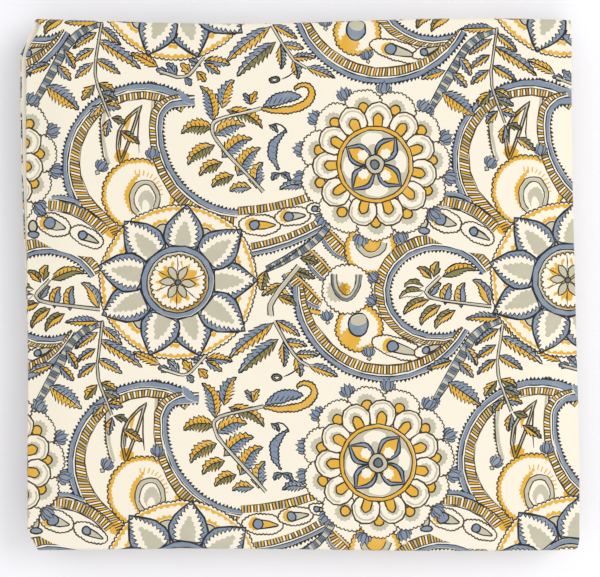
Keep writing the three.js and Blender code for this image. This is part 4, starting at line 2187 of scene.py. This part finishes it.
    def lay(self) -> None:
        """Lay the whole sheet."""
        packet = self.packet
        self.top()
        self.underside()
        self.left_edge([7, 6, 5, 4, 3, 2, 1], 20.0)
        self.left_edge([packet.flap], -60.0)
        for layer in (1, 2, 3, 4, 5, 6):
            self.outer_fold(layer)
        for layer in range(packet.flap + 1):
            if layer:
                self.hidden("a", layer, False)
            if layer != packet.top:
                self.hidden("d", layer, False)
                self.hidden("f", layer, False, 2.5)
            self.hidden("cgb", layer, False)
        for layer in range(packet.flap):
            if layer in (1, 3, 5, 7, 8):
                self.hidden("a", layer, True)
            if layer in (0, 2, 4, 6):
                self.hidden("d", layer, True)
            self.hidden("fcgb" if layer < 7 else "cgb", layer, True)

    def mesh(self, name: str) -> bpy.types.Mesh:
        """Join the patches into one mesh, with its inks, its weave and its bake map.

        Args:
            name: the mesh's name.

        Returns:
            The mesh, in metres.
        """
        for number, patch in enumerate(self.patches):
            log.info("patch %d: %d faces", number, len(patch.faces))
        starts = np.cumsum([0] + [len(patch.points) for patch in self.patches])
        points = np.concatenate([patch.points for patch in self.patches])
        points = points - (points.min(0) + points.max(0)) / 2 * (1, 1, 0)
        points[:, 2] -= points[:, 2].min()
        faces = np.concatenate([patch.faces + start for patch, start in zip(self.patches, starts)])
        mesh = bpy.data.meshes.new(name)
        mesh.vertices.add(len(points))
        mesh.vertices.foreach_set("co", (points * MM).ravel())
        mesh.loops.add(faces.size)
        mesh.loops.foreach_set("vertex_index", faces.ravel().astype(np.int32))
        mesh.polygons.add(len(faces))
        mesh.polygons.foreach_set("loop_start", np.arange(0, faces.size, 3, dtype=np.int32))
        mesh.polygons.foreach_set("use_smooth", np.ones(len(faces), bool))
        mesh.update(calc_edges=True)
        marks = np.concatenate([patch.inks for patch in self.patches]).astype(int)
        blocks = (Ink.MUSTARD, Ink.GREIGE, Ink.BLUE, Ink.LINE)
        inks = np.stack([(marks >> ink.value) & 1 for ink in blocks], 1)
        inks[:, 0] |= (marks >> Ink.BROWN.value) & 1
        colour = mesh.color_attributes.new("Pigment", "FLOAT_COLOR", "CORNER")
        colour.data.foreach_set("color", np.repeat(inks, 3, axis=0).astype(np.float32).ravel())
        self.maps(mesh, faces)
        normals = [patch.points * 0 if patch.normals is None else patch.normals for patch in self.patches]
        mesh.normals_split_custom_set_from_vertices(np.concatenate(normals).tolist())
        return mesh

    def maps(self, mesh: bpy.types.Mesh, faces: Array) -> None:
        """Add the map of the weave, in metres, and the map for baking.

        Args:
            mesh: the mesh.
            faces: three points for each triangle.
        """
        flat = np.concatenate([patch.flat for patch in self.patches])
        weave = mesh.uv_layers.new(name="Weave")
        weave.data.foreach_set("uv", (flat[faces.ravel()] * MM).astype(np.float32).ravel())
        packed = []
        for patch, (u, v, width, height) in zip(self.patches, self.rectangles()):
            low, high = patch.flat.min(0), patch.flat.max(0)
            packed.append((u, v) + (patch.flat - low) / (high - low) * (width, height))
        bake = mesh.uv_layers.new(name="OFBake")
        bake.data.foreach_set("uv", np.concatenate(packed)[faces.ravel()].astype(np.float32).ravel())
        mesh.uv_layers.active = bake

    def rectangles(self) -> list[tuple[float, float, float, float]]:
        """Give each patch a rectangle of the bake map, the top by far the largest.

        Returns:
            Each one's lower corner, width and height.
        """
        spots = [(0.004, 0.33, 0.666, 0.666), (0.676, 0.676, 0.32, 0.32)]
        rows = len(self.patches) - 2
        across = 9
        cell_u, cell_v = 0.32 / across, 0.66 / math.ceil(rows / 2 / across)
        low_u, low_v = 0.66 / (across * 2), 0.32 / math.ceil(rows / 2 / across / 2)
        half = math.ceil(rows / 2)
        for k in range(rows):
            if k < half:
                u, v = 0.676 + (k % across) * cell_u, 0.006 + (k // across) * cell_v
                spots.append((u, v, cell_u * 0.9, cell_v * 0.96))
            else:
                k -= half
                u, v = 0.004 + (k % (across * 2)) * low_u, 0.004 + (k // (across * 2)) * low_v
                spots.append((u, v, low_u * 0.9, low_v * 0.96))
        return spots


# Surfaces


@dataclass(frozen=True)
class Cotton:
    """The look of the cloth and of its inks, as linear colours."""

    ground: tuple = (0.835, 0.77, 0.63)
    mustard: tuple = (0.84, 0.50, 0.06)
    greige: tuple = (0.60, 0.605, 0.55)
    blue: tuple = (0.235, 0.32, 0.51)
    olive: tuple = (0.235, 0.215, 0.085)
    line: tuple = (0.020, 0.020, 0.025)
    brown: tuple = (0.060, 0.038, 0.016)
    roughness: float = 0.88
    sheen: float = 0.12
    gloss: float = 0.25
    threads: float = 2300.0  # a metre
    relief: float = 0.35
    relief_depth: float = 0.00006  # metres
    clouds: float = 120.0  # a metre: where the inks print thin
    grain: float = 1500.0  # a metre: their speckle


def colour_of(values: tuple) -> tuple:
    """Add a full alpha to three linear values."""
    return (*values, 1.0)


Source = bpy.types.NodeSocket | float | tuple  # what an input takes: an output, or a value


@dataclass
class NodeDesk:
    """Adds nodes to a material and links them."""

    tree: bpy.types.NodeTree

    def node(self, kind: str, **settings: object) -> bpy.types.Node:
        """Add a node and set its properties.

        Args:
            kind: its type.
            settings: its properties by name.

        Returns:
            The node.
        """
        node = self.tree.nodes.new(kind)
        for name, value in settings.items():
            setattr(node, name, value)
        return node

    def link(self, source: Source, target: bpy.types.NodeSocket) -> None:
        """Link an output, or a value, to an input.

        Args:
            source: the output or value.
            target: the input.
        """
        if isinstance(source, bpy.types.NodeSocket):
            self.tree.links.new(source, target)
        else:
            target.default_value = source

    def mathed(self, operation: str, *inputs: Source) -> bpy.types.NodeSocket:
        """Add a math node.

        Args:
            operation: what it does.
            inputs: what it reads.

        Returns:
            Its result.
        """
        node = self.node("ShaderNodeMath", operation=operation)
        for source, target in zip(inputs, node.inputs):
            self.link(source, target)
        return node.outputs[0]

    def mixed(self, blend: str, factor: Source, first: Source, second: Source) -> bpy.types.NodeSocket:
        """Add a colour mix.

        Args:
            blend: how it mixes.
            factor: how much of the second colour.
            first: the first colour.
            second: the second.

        Returns:
            The mixed colour.
        """
        node = self.node("ShaderNodeMix", data_type="RGBA", blend_type=blend)
        for source, target in zip((factor, first, second), (node.inputs[0], node.inputs[6], node.inputs[7])):
            self.link(source, target)
        return node.outputs[2]

    def noise(self, vector: Source, scale: float, detail: float = 3.0) -> bpy.types.NodeSocket:
        """Add a noise.

        Args:
            vector: where it is read.
            scale: how fine it is.
            detail: how rough it is.

        Returns:
            The value.
        """
        node = self.node("ShaderNodeTexNoise")
        self.link(vector, node.inputs["Vector"])
        self.link(scale, node.inputs["Scale"])
        self.link(detail, node.inputs["Detail"])
        return node.outputs["Fac"]


def cotton_material(look: Cotton) -> bpy.types.Material:
    """Make the printed cotton: a bare ground, three inks over it, and dark lines.

    Args:
        look: the colours and the weave.

    Returns:
        The material, which reads the colour attribute Pigment and the map Weave.
    """
    material = bpy.data.materials.new("printed_cotton")
    material.use_nodes = True
    tree = material.node_tree
    tree.nodes.clear()
    desk = NodeDesk(tree)
    shader = desk.node("ShaderNodeBsdfPrincipled")
    output = desk.node("ShaderNodeOutputMaterial")
    tree.links.new(shader.outputs[0], output.inputs[0])
    weave = desk.node("ShaderNodeUVMap", uv_map="Weave").outputs[0]
    pigment = desk.node("ShaderNodeVertexColor", layer_name="Pigment")
    parts = desk.node("ShaderNodeSeparateColor")
    tree.links.new(pigment.outputs["Color"], parts.inputs[0])
    cloudy = desk.noise(weave, look.clouds, 4.0)
    grain = desk.noise(weave, look.grain, 2.0)
    patchy = desk.mathed("MULTIPLY_ADD", cloudy, 0.5, 0.74)
    speckled = desk.mathed("MULTIPLY_ADD", grain, 0.3, -0.15)
    cover = desk.mathed("ADD", patchy, speckled)
    faded = desk.mathed("MULTIPLY", desk.noise(weave, 14.0), 0.06)
    colour = desk.mixed("MULTIPLY", faded, colour_of(look.ground), colour_of((0.9, 0.85, 0.7)))
    for amount, tint in zip(parts.outputs, (look.mustard, look.greige, look.blue)):
        strength = desk.mathed("MULTIPLY", amount, cover)
        strength.node.use_clamp = True
        colour = desk.mixed("MULTIPLY", strength, colour, colour_of(tint))
    both = desk.mathed("MULTIPLY", parts.outputs[0], parts.outputs[2])
    colour = desk.mixed("MIX", desk.mathed("MULTIPLY", both, 0.75), colour, colour_of(look.olive))
    dark = desk.mathed("MULTIPLY", pigment.outputs["Alpha"], desk.mathed("ADD", cover, 0.05))
    dark.node.use_clamp = True
    line = desk.mixed("MIX", parts.outputs[0], colour_of(look.line), colour_of(look.brown))
    colour = desk.mixed("MIX", dark, colour, line)
    tree.links.new(colour, shader.inputs["Base Color"])
    shader.inputs["Roughness"].default_value = look.roughness
    shader.inputs["Sheen Weight"].default_value = look.sheen
    shader.inputs["Specular IOR Level"].default_value = look.gloss
    turned = desk.node("ShaderNodeSeparateXYZ")
    tree.links.new(weave, turned.inputs[0])
    warp = desk.mathed("SINE", desk.mathed("MULTIPLY", turned.outputs[0], look.threads * 2 * math.pi))
    weft = desk.mathed("SINE", desk.mathed("MULTIPLY", turned.outputs[1], look.threads * 2 * math.pi))
    height = desk.mathed("ADD", desk.mathed("MULTIPLY", warp, weft), desk.mathed("MULTIPLY", grain, 1.5))
    bump = desk.node("ShaderNodeBump")
    bump.inputs["Strength"].default_value = look.relief
    bump.inputs["Distance"].default_value = look.relief_depth
    tree.links.new(height, bump.inputs["Height"])
    tree.links.new(bump.outputs[0], shader.inputs["Normal"])
    return material


def plain_material(name: str, colour: tuple, roughness: float) -> bpy.types.Material:
    """Make a plain matt material.

    Args:
        name: its name.
        colour: its linear colour.
        roughness: its roughness.

    Returns:
        The material.
    """
    material = bpy.data.materials.new(name)
    material.use_nodes = True
    shader = material.node_tree.nodes["Principled BSDF"]
    shader.inputs["Base Color"].default_value = colour_of(colour)
    shader.inputs["Roughness"].default_value = roughness
    shader.inputs["Specular IOR Level"].default_value = 0.2
    return material


# The scene


@dataclass(frozen=True)
class Lamp:
    """A square lamp that shines at the middle of the packet's foot."""

    name: str
    place: tuple[float, float, float]
    size: float
    power: float


@dataclass(frozen=True)
class Studio:
    """The camera straight above, and soft light from the far right."""

    lens: float = 85.0
    frame_width: float = 300.0
    frame_centre: tuple = (0.5, -2.25)
    sensor: float = 36.0
    floor: tuple = (0.865, 0.855, 0.875)
    sky: tuple = (0.97, 0.98, 1.0)
    sky_strength: float = 0.87
    floor_size: float = 4.0
    lamps: tuple[Lamp, ...] = (
        Lamp("key", (1.1, 0.35, 1.15), 1.0, 9.3),
        Lamp("fill", (0.1, -1.1, 1.5), 1.4, 5.6),
    )

    def camera(self, height: float) -> None:
        """Set the camera above the packet so that its top fills the frame.

        Args:
            height: how high the packet is, in millimetres.
        """
        distance = self.lens * self.frame_width / self.sensor
        x, y = self.frame_centre
        bpy.ops.object.camera_add(location=(x * MM, y * MM, (distance + height) * MM), rotation=(0, 0, 0))
        camera = bpy.context.object
        camera.name = "camera"
        camera.data.lens = self.lens
        camera.data.sensor_width = self.sensor
        camera.data.clip_start = 0.01
        bpy.context.scene.camera = camera

    def lights(self) -> None:
        """Add the sky, a wide soft key light and a weak fill."""
        world = bpy.data.worlds.new("sky")
        world.use_nodes = True
        background = world.node_tree.nodes["Background"]
        background.inputs[0].default_value = colour_of(self.sky)
        background.inputs[1].default_value = self.sky_strength
        bpy.context.scene.world = world
        for lamp in self.lamps:
            bpy.ops.object.light_add(type="AREA", location=lamp.place)
            light = bpy.context.object
            light.name = lamp.name
            light.data.size = lamp.size
            light.data.energy = lamp.power
            light.rotation_euler = (-Vector(lamp.place)).to_track_quat("-Z", "Y").to_euler()
        bpy.context.scene.view_settings.view_transform = "Standard"

    def ground(self) -> bpy.types.Object:
        """Lay the floor.

        Returns:
            The floor.
        """
        bpy.ops.mesh.primitive_plane_add(size=self.floor_size, location=(0, 0, 0))
        floor = bpy.context.object
        floor.name = "floor"
        floor.data.materials.append(plain_material("floor_white", self.floor, 0.7))
        return floor


def make_cloth() -> bpy.types.Object:
    """Returns:
        The cloth.
    """
    builder = ClothBuilder(Packet(), Printer(repeat_levels()))
    builder.lay()
    mesh = builder.mesh("printed_cloth")
    cloth = bpy.data.objects.new("printed_cloth", mesh)
    bpy.context.collection.objects.link(cloth)
    mesh.materials.append(cotton_material(Cotton()))
    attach(cloth, "root")
    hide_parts("folded_cloth")
    log.info("cloth: %d faces, %d points", len(mesh.polygons), len(mesh.vertices))
    return cloth


def main() -> None:
    """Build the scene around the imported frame."""
    logging.basicConfig(level=logging.INFO, format="%(name)s: %(message)s")
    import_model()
    studio = Studio()
    studio.camera(PACKET_HEIGHT)
    studio.lights()
    studio.ground()
    make_cloth()


if __name__ == "__main__":
    main()
